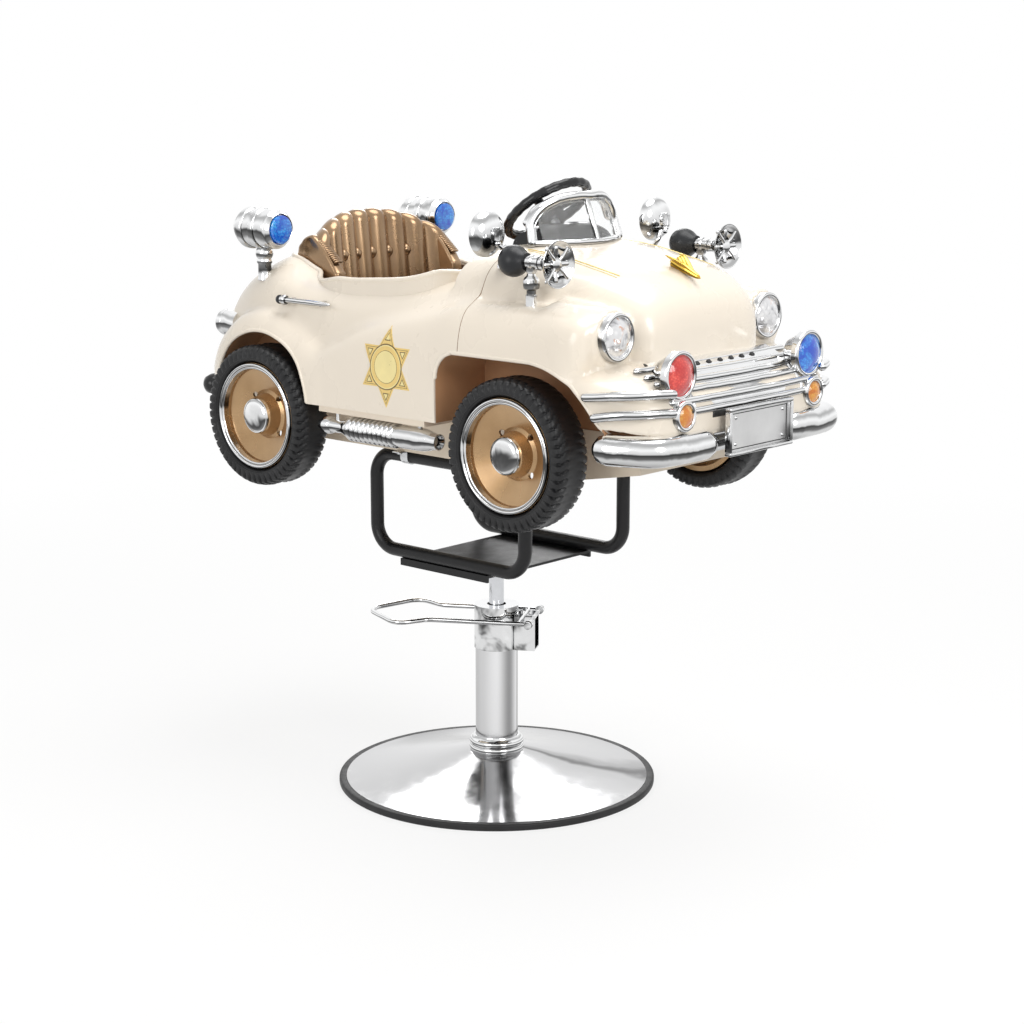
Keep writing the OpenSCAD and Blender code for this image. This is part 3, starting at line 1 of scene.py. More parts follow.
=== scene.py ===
import bmesh
import bpy
import itertools
import math
import numpy as np
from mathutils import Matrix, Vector


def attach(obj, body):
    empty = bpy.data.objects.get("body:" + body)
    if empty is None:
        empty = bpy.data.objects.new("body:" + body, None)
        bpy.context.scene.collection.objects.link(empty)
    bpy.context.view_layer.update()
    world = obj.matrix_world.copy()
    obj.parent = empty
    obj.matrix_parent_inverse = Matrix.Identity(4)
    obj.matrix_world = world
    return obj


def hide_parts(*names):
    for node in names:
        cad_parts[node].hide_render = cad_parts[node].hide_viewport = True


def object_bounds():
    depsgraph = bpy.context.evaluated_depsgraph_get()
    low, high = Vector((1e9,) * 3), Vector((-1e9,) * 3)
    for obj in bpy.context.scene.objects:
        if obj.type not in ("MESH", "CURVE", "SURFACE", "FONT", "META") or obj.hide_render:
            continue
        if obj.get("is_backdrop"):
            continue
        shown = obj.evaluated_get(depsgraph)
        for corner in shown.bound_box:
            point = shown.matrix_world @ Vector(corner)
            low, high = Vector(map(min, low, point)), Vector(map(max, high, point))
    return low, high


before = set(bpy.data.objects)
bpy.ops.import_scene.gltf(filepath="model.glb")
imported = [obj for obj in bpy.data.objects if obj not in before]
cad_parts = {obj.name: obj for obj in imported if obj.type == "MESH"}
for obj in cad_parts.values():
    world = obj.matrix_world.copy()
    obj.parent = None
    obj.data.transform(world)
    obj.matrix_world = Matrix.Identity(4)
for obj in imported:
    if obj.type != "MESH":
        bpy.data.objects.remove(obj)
cad_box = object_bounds()
scene = bpy.context.scene
scene.view_settings.view_transform = "Standard"

# Driving sizes in millimetres. The car's half width and half length are the frame's.
MM = 0.001
HALF_W, HALF_L = (round(size / MM, 1) for size in cad_box[1][:2])
SILL, RISE = 735.5, 300.0
PAN_Z, AXLE_Z = 645.5, 699.95
FRONT_Y, REAR_Y = -287.0, 336.0
SEAM_Y = -172.2


def py(share):
    return share * HALF_L


def px(share):
    return share * HALF_W


def pz(share):
    return SILL + share * RISE


# Camera

camera_data = bpy.data.cameras.new("photo_camera")
camera = bpy.data.objects.new("photo_camera", camera_data)
scene.collection.objects.link(camera)
camera.location = (-2.9847, -2.7362, 1.3676)
camera.rotation_euler = Vector((0.7262, 0.6562, -0.205)).to_track_quat("-Z", "Y").to_euler()
camera_data.lens = 77.98
camera_data.sensor_width = 36
camera_data.clip_end = 200
scene.camera = camera

# Materials


MATS = {}


def tone(color, k):
    return tuple(min(1.0, c * k) for c in color[:3]) + (1.0,)


def add_node(tree, kind, inputs=(), **values):
    """A shader node. inputs is a row of (socket, value or another node's output)."""
    made = tree.nodes.new("ShaderNode" + kind)
    for key, value in values.items():
        setattr(made, key, value)
    for socket, value in inputs:
        if isinstance(value, bpy.types.NodeSocket):
            tree.links.new(value, made.inputs[socket])
        else:
            made.inputs[socket].default_value = value
    return made


class Shader:
    """A Principled material with helpers for its texture nodes."""

    def __init__(self, name, rough, metal=0.0, coat=0.0, coat_rough=0.05, spec=0.5):
        mat = bpy.data.materials.new(name)
        mat.use_nodes = True
        MATS[name] = mat
        self.tree = mat.node_tree
        self.bsdf = self.tree.nodes["Principled BSDF"]
        self.coord = self.node("TexCoord").outputs
        for socket, value in (("Roughness", rough), ("Metallic", metal), ("Coat Weight", coat),
                              ("Coat Roughness", coat_rough), ("Specular IOR Level", spec)):
            self.bsdf.inputs[socket].default_value = value

    def node(self, kind, inputs=(), **values):
        return add_node(self.tree, kind, inputs, **values)

    def link(self, a, b):
        self.tree.links.new(a, b)

    def noise(self, scale, detail=4.0, rough=0.55, distortion=0.0, stretch=None):
        source = self.coord["Object"]
        if stretch:
            source = self.node("Mapping", (("Vector", source), ("Scale", stretch))).outputs["Vector"]
        return self.node("TexNoise", (("Vector", source), ("Scale", scale), ("Detail", detail),
                                      ("Roughness", rough), ("Distortion", distortion))).outputs["Fac"]

    def ramp(self, fac, stops, ease="LINEAR"):
        r = self.node("ValToRGB", (("Fac", fac),))
        r.color_ramp.interpolation = ease
        cells = r.color_ramp.elements
        while len(cells) < len(stops):
            cells.new(0.5)
        for cell, (at, color) in zip(cells, stops):
            cell.position = at
            cell.color = color
        return r.outputs["Color"]

    def mix(self, fac, a, b, kind="MIX"):
        return self.node("Mix", ((0, fac), (6, a), (7, b)), data_type="RGBA", blend_type=kind).outputs[2]

    def spread(self, fac, low, high, from_low=0.3, from_high=0.7):
        return self.node("MapRange", (("Value", fac), ("From Min", from_low), ("From Max", from_high),
                                      ("To Min", low), ("To Max", high))).outputs["Result"]

    def total(self, a, b):
        return self.node("Math", ((0, a), (1, b)), operation="ADD").outputs["Value"]

    def bump(self, height, strength, distance=0.0006):
        b = self.node("Bump", (("Height", height), ("Strength", strength), ("Distance", distance)))
        normal = self.bsdf.inputs["Normal"]
        if normal.is_linked:
            self.link(normal.links[0].from_socket, b.inputs["Normal"])
        self.link(b.outputs["Normal"], normal)

    def color(self, socket):
        self.link(socket, self.bsdf.inputs["Base Color"])

    def rough(self, low, high, scale):
        self.link(self.spread(self.noise(scale), low, high), self.bsdf.inputs["Roughness"])


def finish(name, base, rough, metal=0.0, coat=0.0, vary=0.06, cloud=9.0, grain=260.0,
           bump=0.06, play=0.06, spec=0.5, coat_rough=0.05):
    """A moulded or painted surface: clouded colour, uneven gloss and a fine grain."""
    s = Shader(name, rough, metal, coat, coat_rough, spec)
    s.color(s.ramp(s.noise(cloud, 5.0), [(0.3, tone(base, 1 - vary)), (0.7, tone(base, 1 + vary))]))
    s.rough(max(0.02, rough - play), rough + play, cloud * 2.3)
    s.bump(s.noise(grain, 2.0), bump)


def chrome(name, tint, rough=0.06, dark=0.07, wave=0.22):
    """Bright plating with painted reflections: bands of light and dark, painted into the colour, follow the
    way the surface faces.
    """
    s = Shader(name, rough, 1.0)
    facing_up = s.node("SeparateXYZ", (("Vector", s.coord["Normal"]),)).outputs["Z"]
    drift = s.spread(s.noise(16.0, 3.0, 0.5, 0.6), -wave, wave, 0.25, 0.75)
    way = s.spread(s.total(facing_up, drift), 0.0, 1.0, -1.0, 1.0)
    # Grey levels of the painted reflection bands, from facing straight down to facing straight up.
    grey = [(0.0, 0.34), (0.24, 0.62), (0.36, dark * 2.4), (0.46, dark), (0.53, 0.74), (0.66, 0.96),
            (0.80, 0.48), (0.90, 0.90), (1.0, 0.97)]
    s.color(s.ramp(way, [(p, tone(tint, g)) for p, g in grey], "EASE"))
    s.rough(rough * 0.6, rough * 1.8, 30.0)
    s.bump(s.noise(55.0, 2.0), 0.04)


def around(name, stops, wave, rough=0.07, stretch=(1, 1, 0.06)):
    """Plating on a form turned about the upright axis, with painted reflections: bands of light and dark,
    painted into the colour, run round it.
    """
    s = Shader(name, rough, 1.0)
    turn = s.node("TexGradient", (("Vector", s.coord["Object"]),), gradient_type="RADIAL").outputs["Fac"]
    drift = s.spread(s.noise(9.0, 3.0, 0.5, 0.4, stretch), -wave, wave, 0.25, 0.75)
    s.color(s.ramp(s.total(turn, drift), [(p, (v, v, v * 1.01, 1)) for p, v in stops], "EASE"))
    s.rough(rough * 0.6, rough * 1.6, 30.0)
    s.bump(s.noise(60.0, 2.0), 0.02)


def facets(s, cells, cloud, glow, edge, reach, height):
    """Moulded facets over a reflector. glow holds the lens colours with painted sparkle and reflections of
    the reflector, shown at each facet's middle; edge colours the facets' outer parts.
    """
    far = s.node("TexVoronoi", (("Vector", s.coord["Object"]), ("Scale", cells))).outputs["Distance"]
    share = s.spread(far, 0.0, reach[0], 0.0, reach[1])
    s.color(s.mix(share, s.ramp(cloud, glow), edge))
    s.bump(far, height, 0.001)


def lens(name, deep, bright, cells):
    """Clear coloured plastic: deep is its own colour, while bright and the lighter tones from it are painted
    sparkle.
    """
    s = Shader(name, 0.08, 0.0, 0.8, 0.03)
    glow = [(0.36, deep), (0.50, tone(bright, 0.8)), (0.60, bright), (0.70, tone(bright, 1.6))]
    facets(s, cells, s.noise(42.0, 3.0, 0.5, 0.8), glow, deep, (0.75, 0.7), 0.35)


def clear_lens_shader():
    s = Shader("lens_clear", 0.07, 0.35, 0.9, 0.03)
    # The clear headlight lens's colours are painted reflections: dark grey, white and an orange reflection.
    glow = [(0.34, (0.30, 0.30, 0.31, 1)), (0.46, (0.86, 0.86, 0.87, 1)), (0.60, (0.95, 0.95, 0.95, 1)),
            (0.66, (0.72, 0.30, 0.13, 1)), (0.72, (0.80, 0.45, 0.28, 1))]
    facets(s, 120.0, s.noise(34.0, 3.0, 0.5, 1.2), glow, (0.55, 0.55, 0.57, 1), (0.5, 0.6), 0.4)


def flaked(name, look, cloud, dark, light, flake, rough, grain):
    """Metallic paint: a clouded colour with fine flakes. look is what Shader takes."""
    s = Shader(name, *look)
    deep = s.ramp(s.noise(*cloud), [(0.3, dark), (0.7, light)])
    grey = flake[1]
    specks = s.ramp(s.noise(flake[0], 1.0), [(0.35, (grey, grey, grey, 1)), (0.7, (1, 1, 1, 1))])
    s.color(s.mix(1.0, deep, specks, "MULTIPLY"))
    s.rough(*rough)
    s.bump(s.noise(*grain[:2]), grain[2])
    return s


def tyre_shader():
    s = Shader("tyre", 0.42, 0.0, 0.0, 0.3, 0.32)
    dust = [(0.35, (0.007, 0.007, 0.008, 1)), (0.72, (0.020, 0.020, 0.021, 1))]
    s.color(s.ramp(s.noise(12.0, 6.0, 0.62), dust))
    s.rough(0.32, 0.52, 22.0)
    s.bump(s.noise(420.0, 3.0), 0.16)


def glass_shader():
    s = Shader("glass", 0.03)
    s.bsdf.inputs["Transmission Weight"].default_value = 0.92
    s.bsdf.inputs["IOR"].default_value = 1.12
    s.color(s.ramp(s.noise(6.0), [(0.3, (0.93, 0.95, 0.96, 1)), (0.7, (0.99, 0.99, 0.99, 1))]))
    s.rough(0.01, 0.05, 12.0)


IVORY = (0.86, 0.775, 0.655)
finish("ivory", IVORY, 0.28, coat=0.45, vary=0.012, cloud=4.0, grain=900.0, bump=0.008, play=0.04)
finish("ivory_pan", (0.80, 0.70, 0.57), 0.38, coat=0.2, vary=0.05, cloud=7.0, grain=500.0, bump=0.04)
# Inside faces of the shell: the ivory plastic painted darker brown as shade, deepest in the wheel housings
# and under the shell, lighter in the cockpit.
finish("inner_shade", (0.44, 0.235, 0.12), 0.5, vary=0.16, cloud=7.0, grain=300.0, bump=0.14)
finish("cabin_shade", (0.62, 0.44, 0.32), 0.5, vary=0.10, cloud=7.0, grain=300.0, bump=0.10)
# Plating with painted reflection bands: chrome, and the bright trim of grille, bumpers, exhausts and plate
# frame.
chrome("chrome", (0.97, 0.975, 0.98, 1))
chrome("bright", (0.95, 0.955, 0.96, 1), 0.08, 0.05, 0.14)
# Painted reflections on the stand: light and dark bands round the column cover and the base dome.
around("column_plating", [(0.0, 0.62), (0.12, 0.80), (0.22, 0.30), (0.30, 0.72), (0.345, 0.10), (0.375, 0.62),
                          (0.43, 0.86), (0.50, 0.60), (0.56, 0.80), (0.64, 0.20), (0.74, 0.86), (0.88, 0.45),
                          (1.0, 0.62)], 0.012)
around("dome_plating", [(0.0, 0.60), (0.10, 0.42), (0.14, 0.14), (0.18, 0.55), (0.27, 0.70), (0.335, 0.60),
                        (0.36, 0.16), (0.385, 0.44), (0.42, 0.62), (0.55, 0.56), (0.62, 0.66), (0.70, 0.38),
                        (0.78, 0.66), (1.0, 0.60)], 0.022, 0.10, (1, 1, 1))
finish("rod_chrome", (0.62, 0.63, 0.65), 0.16, 1.0, vary=0.10, cloud=22.0, grain=500.0, bump=0.03)
finish("steel", (0.42, 0.43, 0.44), 0.38, 1.0, vary=0.14, cloud=18.0, bump=0.10)
finish("zinc", (0.66, 0.67, 0.68), 0.3, 1.0, vary=0.12, cloud=40.0, bump=0.06)
finish("iron", (0.05, 0.05, 0.055), 0.5, vary=0.2, cloud=20.0, bump=0.3)
finish("black_steel", (0.010, 0.010, 0.011), 0.34, vary=0.25, cloud=14.0, grain=1500.0, bump=0.10, spec=0.3)
finish("rubber", (0.022, 0.022, 0.023), 0.5, vary=0.22, cloud=20.0, grain=700.0, bump=0.14, spec=0.3)
finish("dash", (0.009, 0.009, 0.010), 0.22, vary=0.3, cloud=12.0, grain=600.0, bump=0.03, spec=0.4)
finish("bulb_rubber", (0.014, 0.015, 0.017), 0.36, vary=0.2, cloud=24.0, grain=500.0, bump=0.05, spec=0.35)
# Near black: painted shade in the grille's square holes, and the thin dark lines on the licence plate.
finish("dark_slot", (0.012, 0.012, 0.013), 0.6, vary=0.3, cloud=20.0)
finish("plate", (0.62, 0.62, 0.62), 0.34, 0.9, vary=0.08, cloud=18.0, bump=0.05)
finish("gold_line", (0.80, 0.60, 0.13), 0.25, 0.55, vary=0.15, cloud=60.0)
finish("star_gold", (0.83, 0.60, 0.20), 0.32, 0.25, coat=0.4, vary=0.06, cloud=30.0, bump=0.02)
finish("star_dark", (0.13, 0.075, 0.025), 0.4, vary=0.15, cloud=30.0)
finish("star_pale", (0.88, 0.75, 0.34), 0.32, 0.2, coat=0.4, vary=0.05, cloud=30.0, bump=0.02)
# Gold plating for the hood ornament, with painted reflection bands.
chrome("gold", (1.0, 0.66, 0.12, 1), 0.10, 0.10)
# Signal and marker lenses: the first colour is the plastic's own, the second and its lighter tones are
# painted sparkle.
lens("lens_red", (0.50, 0.008, 0.010, 1), (0.98, 0.10, 0.07, 1), 260.0)
lens("lens_blue", (0.006, 0.07, 0.55, 1), (0.06, 0.42, 1.0, 1), 260.0)
lens("lens_amber", (0.62, 0.17, 0.006, 1), (1.0, 0.56, 0.08, 1), 320.0)
clear_lens_shader()
bronze = flaked("bronze", (0.26, 0.86, 0.35, 0.10), (7.0, 5.0), (0.27, 0.165, 0.088, 1),
                (0.42, 0.275, 0.155, 1), (1400.0, 0.82), (0.20, 0.34, 11.0), (240.0, 3.0, 0.08))
bronze.bump(bronze.noise(30.0, 3.0), 0.10, 0.002)
flaked("disc_gold", (0.3, 0.75, 0.3, 0.1), (9.0, 4.0), (0.40, 0.245, 0.115, 1), (0.56, 0.365, 0.19, 1),
       (1600.0, 0.84), (0.22, 0.36, 14.0), (300.0, 2.0, 0.05))
tyre_shader()
glass_shader()

# Mesh tools, in millimetres


def unit(v):
    v = np.asarray(v, float)
    return v / np.linalg.norm(v)


def place(at, z=(0, 0, 1), x=(1, 0, 0)):
    z = unit(z)
    x = np.asarray(x, float)
    x = x - z * (x @ z)
    if np.linalg.norm(x) < 1e-6:
        x = np.array([0, 1, 0]) - z * z[1]
    m = np.eye(4)
    m[:3, 0] = unit(x)
    m[:3, 1] = np.cross(z, m[:3, 0])
    m[:3, 2] = z
    m[:3, 3] = at
    return m


def moved(v, at):
    v = np.asarray(v, float)
    return v if at is None else v @ at[:3, :3].T + at[:3, 3]


class Form:
    """The patches of one piece."""

    def __init__(self):
        self.v, self.f, self.m, self.n = [], [], [], 0

    def add(self, patch, mat=0, at=None, both=False):
        """Add a patch, placed by at, and with both its mirror image on the car's other side."""
        v, f = moved(patch[0], at), patch[1]
        self._put(v, f, mat)
        if both:
            self._put(v * [-1, 1, 1], [q[::-1] for q in f], mat)
        return self

    def turn(self, profile, n, at=None, mat=0, both=False, closed=False):
        """Add a turned patch."""
        return self.add(lathe(profile, n, closed), mat, at, both)

    def _put(self, v, f, mat):
        self.v.append(v)
        self.f += [tuple(int(i) + self.n for i in q) for q in f]
        self.m += [mat] * len(f)
        self.n += len(v)


def piece(name, form, body, mats, replaces=(), angle=38):
    me = bpy.data.meshes.new(name)
    me.from_pydata((np.vstack(form.v) * MM).tolist(), [], form.f)
    for m in mats:
        me.materials.append(MATS[m])
    me.polygons.foreach_set("material_index", form.m)
    me.polygons.foreach_set("use_smooth", [True] * len(me.polygons))
    me.update()
    me.set_sharp_from_angle(angle=math.radians(angle))
    ob = bpy.data.objects.new(name, me)
    scene.collection.objects.link(ob)
    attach(ob, body)
    if replaces:
        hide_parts(*replaces)
    return ob


def strips(rings, closed=False):
    """Faces between neighbouring rings of vertex numbers. A ring of one vertex is a point."""
    f = []
    for a, b in list(zip(rings, rings[1:])) + ([(rings[-1], rings[0])] if closed else []):
        n = max(len(a), len(b))
        for i in range(n if n > 1 else 0):
            j = (i + 1) % n
            if len(a) == 1:
                f.append((a[0], b[j], b[i]))
            elif len(b) == 1:
                f.append((a[i], a[j], b[0]))
            else:
                f.append((a[i], a[j], b[j], b[i]))
    return f


def skin(rows, closed=False):
    """A patch through rows of equally many points, with a face across each end unless closed."""
    m = len(rows[0])
    rings = [list(range(i * m, i * m + m)) for i in range(len(rows))]
    f = strips(rings, closed)
    if not closed:
        f += [tuple(rings[0][::-1]), tuple(rings[-1])]
    return [p for row in rows for p in row], f


def lathe(profile, n=64, closed=False):
    v, rings = [], []
    turn = 2 * np.pi * np.arange(n) / n
    for r, h in profile:
        points = [(0, 0, h)] if r < 1e-6 else [(r * math.cos(a), r * math.sin(a), h) for a in turn]
        rings.append(list(range(len(v), len(v) + len(points))))
        v += points
    return v, strips(rings, closed)


def arc(cx, cy, r, a0, a1, n):
    return [(cx + r * math.cos(math.radians(a0 + (a1 - a0) * i / n)),
             cy + r * math.sin(math.radians(a0 + (a1 - a0) * i / n))) for i in range(n + 1)]


def ball(r, n=32, rows=16):
    return lathe([(r * math.sin(math.pi * i / rows) if 0 < i < rows else 0, -r * math.cos(math.pi * i / rows))
                  for i in range(rows + 1)], n)


def dome(r, foot, rise, n=48, rows=8):
    big = (r * r + rise * rise) / (2 * rise)
    half = math.asin(min(1, r / big)) if rise <= r else math.pi - math.asin(r / big)
    top = [(big * math.sin(half * (1 - i / rows)) if i < rows else 0,
            foot + rise - big + big * math.cos(half * (1 - i / rows))) for i in range(rows + 1)]
    return lathe([(0, 0), (r, 0)] + top, n)


def spline(points, k=8, closed=False):
    p = np.asarray(points, float)
    n, out = len(p), []
    for i in range(n if closed else n - 1):
        at = (lambda j: p[j % n]) if closed else (lambda j: p[min(max(j, 0), n - 1)])
        a, b, c, d = at(i - 1), at(i), at(i + 1), at(i + 2)
        for t in np.arange(k) / k:
            out.append(0.5 * (2 * b + (c - a) * t + (2 * a - 5 * b + 4 * c - d) * t * t
                              + (3 * b - a - 3 * c + d) * t ** 3))
    if not closed:
        out.append(p[-1])
    return np.array(out)


def rounded(points, radius, k=8):
    p = np.asarray(points, float)
    out = [p[0]]
    for i in range(1, len(p) - 1):
        a, b = unit(p[i - 1] - p[i]), unit(p[i + 1] - p[i])
        turn = math.acos(np.clip(a @ b, -1, 1))
        cut = min(radius / math.tan(turn / 2), 0.49 * np.linalg.norm(p[i - 1] - p[i]),
                  0.49 * np.linalg.norm(p[i + 1] - p[i]))
        s, e = p[i] + a * cut, p[i] + b * cut
        for t in np.arange(k + 1) / k:
            out.append((1 - t) ** 2 * s + 2 * t * (1 - t) * p[i] + t * t * e)
    out.append(p[-1])
    return np.array(out)


def tube(path, r, n=16, closed=False, cap="round", flat=1.0, side=None):
    """A swept tube. flat squashes the section across side, a direction."""
    p = np.asarray(path, float)
    m = len(p)
    rr = np.broadcast_to(np.asarray(r, float), (m,))
    t = (np.roll(p, -1, 0) - np.roll(p, 1, 0)) if closed else np.gradient(p, axis=0)
    t /= np.linalg.norm(t, axis=1)[:, None]
    normals = []
    last = np.asarray(side, float) if side is not None else np.array([0.13, 0.21, 0.97])
    for i in range(m):
        base = np.asarray(side, float) if side is not None else last
        last = unit(base - t[i] * (base @ t[i]))
        normals.append(last)
    normals = np.array(normals)
    across = np.cross(t, normals)
    if closed and side is None:
        gap = math.atan2(normals[0] @ across[-1], normals[0] @ normals[-1])
        turn = gap * np.arange(m) / m
        normals, across = (normals * np.cos(turn)[:, None] + across * np.sin(turn)[:, None],
                           across * np.cos(turn)[:, None] - normals * np.sin(turn)[:, None])
    a = 2 * np.pi * np.arange(n) / n
    v, rings = [], []

    def put(points):
        rings.append(list(range(len(v), len(v) + len(points))))
        v.extend(points)

    def ring(i, out=0.0):
        """The section at point i. out is how far a rounded end has closed, in degrees."""
        size, way = rr[i], math.copysign(1, i - 0.5)
        centre = p[i] + way * t[i] * size * math.sin(math.radians(out))
        size *= math.cos(math.radians(out))
        put(centre + size * (normals[i] * (flat * np.cos(a))[:, None] + across[i] * np.sin(a)[:, None]))

    round_end = cap == "round" and not closed
    if not closed:
        put([p[0] - t[0] * rr[0] * round_end])
    for out in (65, 35) if round_end else ():
        ring(0, out)
    for i in range(m):
        ring(i)
    for out in (35, 65) if round_end else ():
        ring(m - 1, out)
    if not closed:
        put([p[-1] + t[-1] * rr[-1] * round_end])
    return v, strips(rings, closed)


def slab(outline, h, low=0.0):
    return skin([[(x, y, z) for x, y in outline] for z in (low, low + h)])


def block(sx, sy, sz, bevel=1.5, seg=2):
    bm = bmesh.new()
    bmesh.ops.create_cube(bm, size=1)
    for q in bm.verts:
        q.co = Vector((q.co.x * sx, q.co.y * sy, q.co.z * sz))
    if bevel:
        bmesh.ops.bevel(bm, geom=bm.edges[:], offset=bevel, segments=seg, profile=0.5, affect="EDGES")
    v = [tuple(q.co) for q in bm.verts]
    f = [tuple(q.index for q in g.verts) for g in bm.faces]
    bm.free()
    return v, f


def oval(hw, hh, power, n):
    """A superellipse's points."""
    a = 2 * np.pi * np.arange(n)[:, None] / n
    way = np.hstack([np.cos(a), np.sin(a)])
    return np.sign(way) * np.abs(way) ** (2 / power) * [hw, hh]


def turns(a, b, c):
    """Above 0 where the way from a over b to c turns to the left."""
    return (b[0] - a[0]) * (c[1] - a[1]) - (b[1] - a[1]) * (c[0] - a[0])


def hull2(points):
    """The outline round a cloud of points."""
    p = sorted(map(tuple, points))
    out = []
    for row in (p, p[::-1]):
        half = []
        for c in row:
            while len(half) > 1 and turns(half[-2], half[-1], c) <= 1e-9:
                half.pop()
            half.append(c)
        out += half[:-1]
    return out


# Body: a field that is negative inside, drawn from the same stations as the solids.
# A row holds shares: place along the length, middle and half width, lower edge and top.

HOOD = [[-0.814, 0, 0.40, 0.25, 0.60], [-0.804, 0, 0.46, 0.25, 0.68], [-0.784, 0, 0.51, 0.25, 0.755],
        [-0.748, 0, 0.55, 0.25, 0.82], [-0.691, 0, 0.59, 0.25, 0.885], [-0.565, 0, 0.65, 0.25, 0.94],
        [-0.42, 0, 0.71, 0.25, 0.985], [-0.30, 0, 0.745, 0.25, 1.0], [-0.165, 0, 0.745, 0.25, 0.97]]
PONTOON = [[-0.735, 0.70, 0.20, 0.42, 0.66], [-0.70, 0.705, 0.235, 0.30, 0.69],
           [-0.64, 0.712, 0.243, 0.1, 0.705], [-0.45, 0.712, 0.245, -0.25, 0.71],
           [-0.28, 0.712, 0.245, -0.25, 0.705], [-0.146, 0.712, 0.24, -0.25, 0.65],
           [0.118, 0.71, 0.24, -0.25, 0.53], [0.37, 0.71, 0.24, -0.25, 0.30]]
APRON = [[-0.955, 0, 0.66, 0.06, 0.22], [-0.94, 0, 0.75, 0.03, 0.27], [-0.905, 0, 0.83, 0.0, 0.32],
         [-0.83, 0, 0.90, 0.0, 0.385], [-0.755, 0, 0.945, 0.0, 0.42], [-0.66, 0, 0.955, 0.0, 0.44],
         [-0.50, 0, 0.955, 0.0, 0.45]]
TUB = [[-0.286, 0, 0.827, -0.25, 0.892], [-0.20, 0, 0.833, -0.25, 0.85], [-0.093, 0, 0.837, -0.25, 0.815],
       [0.101, 0, 0.84, -0.25, 0.782], [0.272, 0, 0.84, -0.25, 0.765], [0.45, 0, 0.835, -0.25, 0.79],
       [0.575, 0, 0.82, -0.25, 0.875], [0.665, 0, 0.79, -0.15, 0.82], [0.782, 0, 0.71, 0.0, 0.69],
       [0.88, 0, 0.65, 0.0, 0.445], [0.938, 0, 0.58, 0.0, 0.32], [0.97, 0, 0.46, 0.03, 0.22]]
REAR_FENDER = [[0.30, 0.745, 0.19, -0.25, 0.33], [0.40, 0.75, 0.20, -0.25, 0.455],
               [0.50, 0.75, 0.205, 0.0, 0.525], [0.567, 0.75, 0.205, 0.0, 0.54],
               [0.665, 0.745, 0.205, 0.0, 0.50], [0.75, 0.72, 0.20, 0.0, 0.39],
               [0.815, 0.68, 0.18, 0.0, 0.22], [0.855, 0.62, 0.15, 0.02, 0.10]]


def between(x, xs, ys):
    """Smooth interpolation that doesn't overshoot."""
    xs, ys = np.asarray(xs, float), np.asarray(ys, float)
    h, d = np.diff(xs), np.diff(ys) / np.diff(xs)
    m = np.zeros(len(xs))
    m[0], m[-1] = d[0], d[-1]
    for i in range(1, len(xs) - 1):
        if d[i - 1] * d[i] > 0:
            a, b = 2 * h[i] + h[i - 1], h[i] + 2 * h[i - 1]
            m[i] = (a + b) / (a / d[i - 1] + b / d[i])
    x = np.clip(x, xs[0], xs[-1])
    k = np.clip(np.searchsorted(xs, x) - 1, 0, len(xs) - 2)
    t = (x - xs[k]) / h[k]
    return ((1 + 2 * t) * (1 - t) ** 2 * ys[k] + t * (1 - t) ** 2 * h[k] * m[k]
            + t * t * (3 - 2 * t) * ys[k + 1] + t * t * (t - 1) * h[k] * m[k + 1])


def soft_min(a, b, k):
    t = np.clip(0.5 + 0.5 * (b - a) / k, 0, 1)
    return b + (a - b) * t - k * t * (1 - t)


def soft_max(a, b, k):
    return -soft_min(-a, -b, k)


def loft_field(x, y, z, rows, power, drop):
    """Distance to a form lofted through stations, whose sections are superellipses."""
    t = np.asarray(rows)
    ys = py(t[:, 0])
    low_edge = pz(t[:, 3]) - drop * (t[:, 3] < 0.02)
    xc, half_w, low, top = (between(y, ys, c) for c in (px(t[:, 1]), px(t[:, 2]), low_edge, pz(t[:, 4])))
    half_h = (top - low) / 2
    u = np.abs(x - xc) / half_w + 1e-6
    w = np.abs(z - (low + top) / 2) / half_h + 1e-6
    g = (u ** power + w ** power) ** (1 / power)
    slope = np.hypot(u ** (power - 1) / half_w, w ** (power - 1) / half_h) * g ** (1 - power)
    return soft_max((g - 1) / np.maximum(slope, 1e-3), np.maximum(ys[0] - y, y - ys[-1]), 6.0)


def pod_field(x, y, z):
    """The round pod behind a headlight."""
    at = np.array([px(0.69), py(-0.745), pz(0.567)])
    r = 45 * (1 + 0.15 * np.clip((y - at[1]) / (0.17 * HALF_L), 0, 1.15))
    side = np.hypot(x - at[0], z - at[2]) - r
    return soft_max(side, np.maximum(at[1] - y, y - at[1] - 0.19 * HALF_L), 6.0)


def body_field(x, y, z, drop=0.0):
    """Distance to the body, near enough. drop lengthens the forms that end at the sill downwards."""
    ax = np.abs(x)
    d = loft_field(x, y, z, HOOD, 3.2, drop)
    for side, rows, power, blend in ((x, APRON, 4, 10), (x, TUB, 4.1, 8), (ax, PONTOON, 3.2, 16),
                                     (ax, REAR_FENDER, 2.8, 12)):
        d = soft_min(d, loft_field(side, y, z, rows, power, drop), blend)
    return soft_min(d, pod_field(ax, y, z), 14)


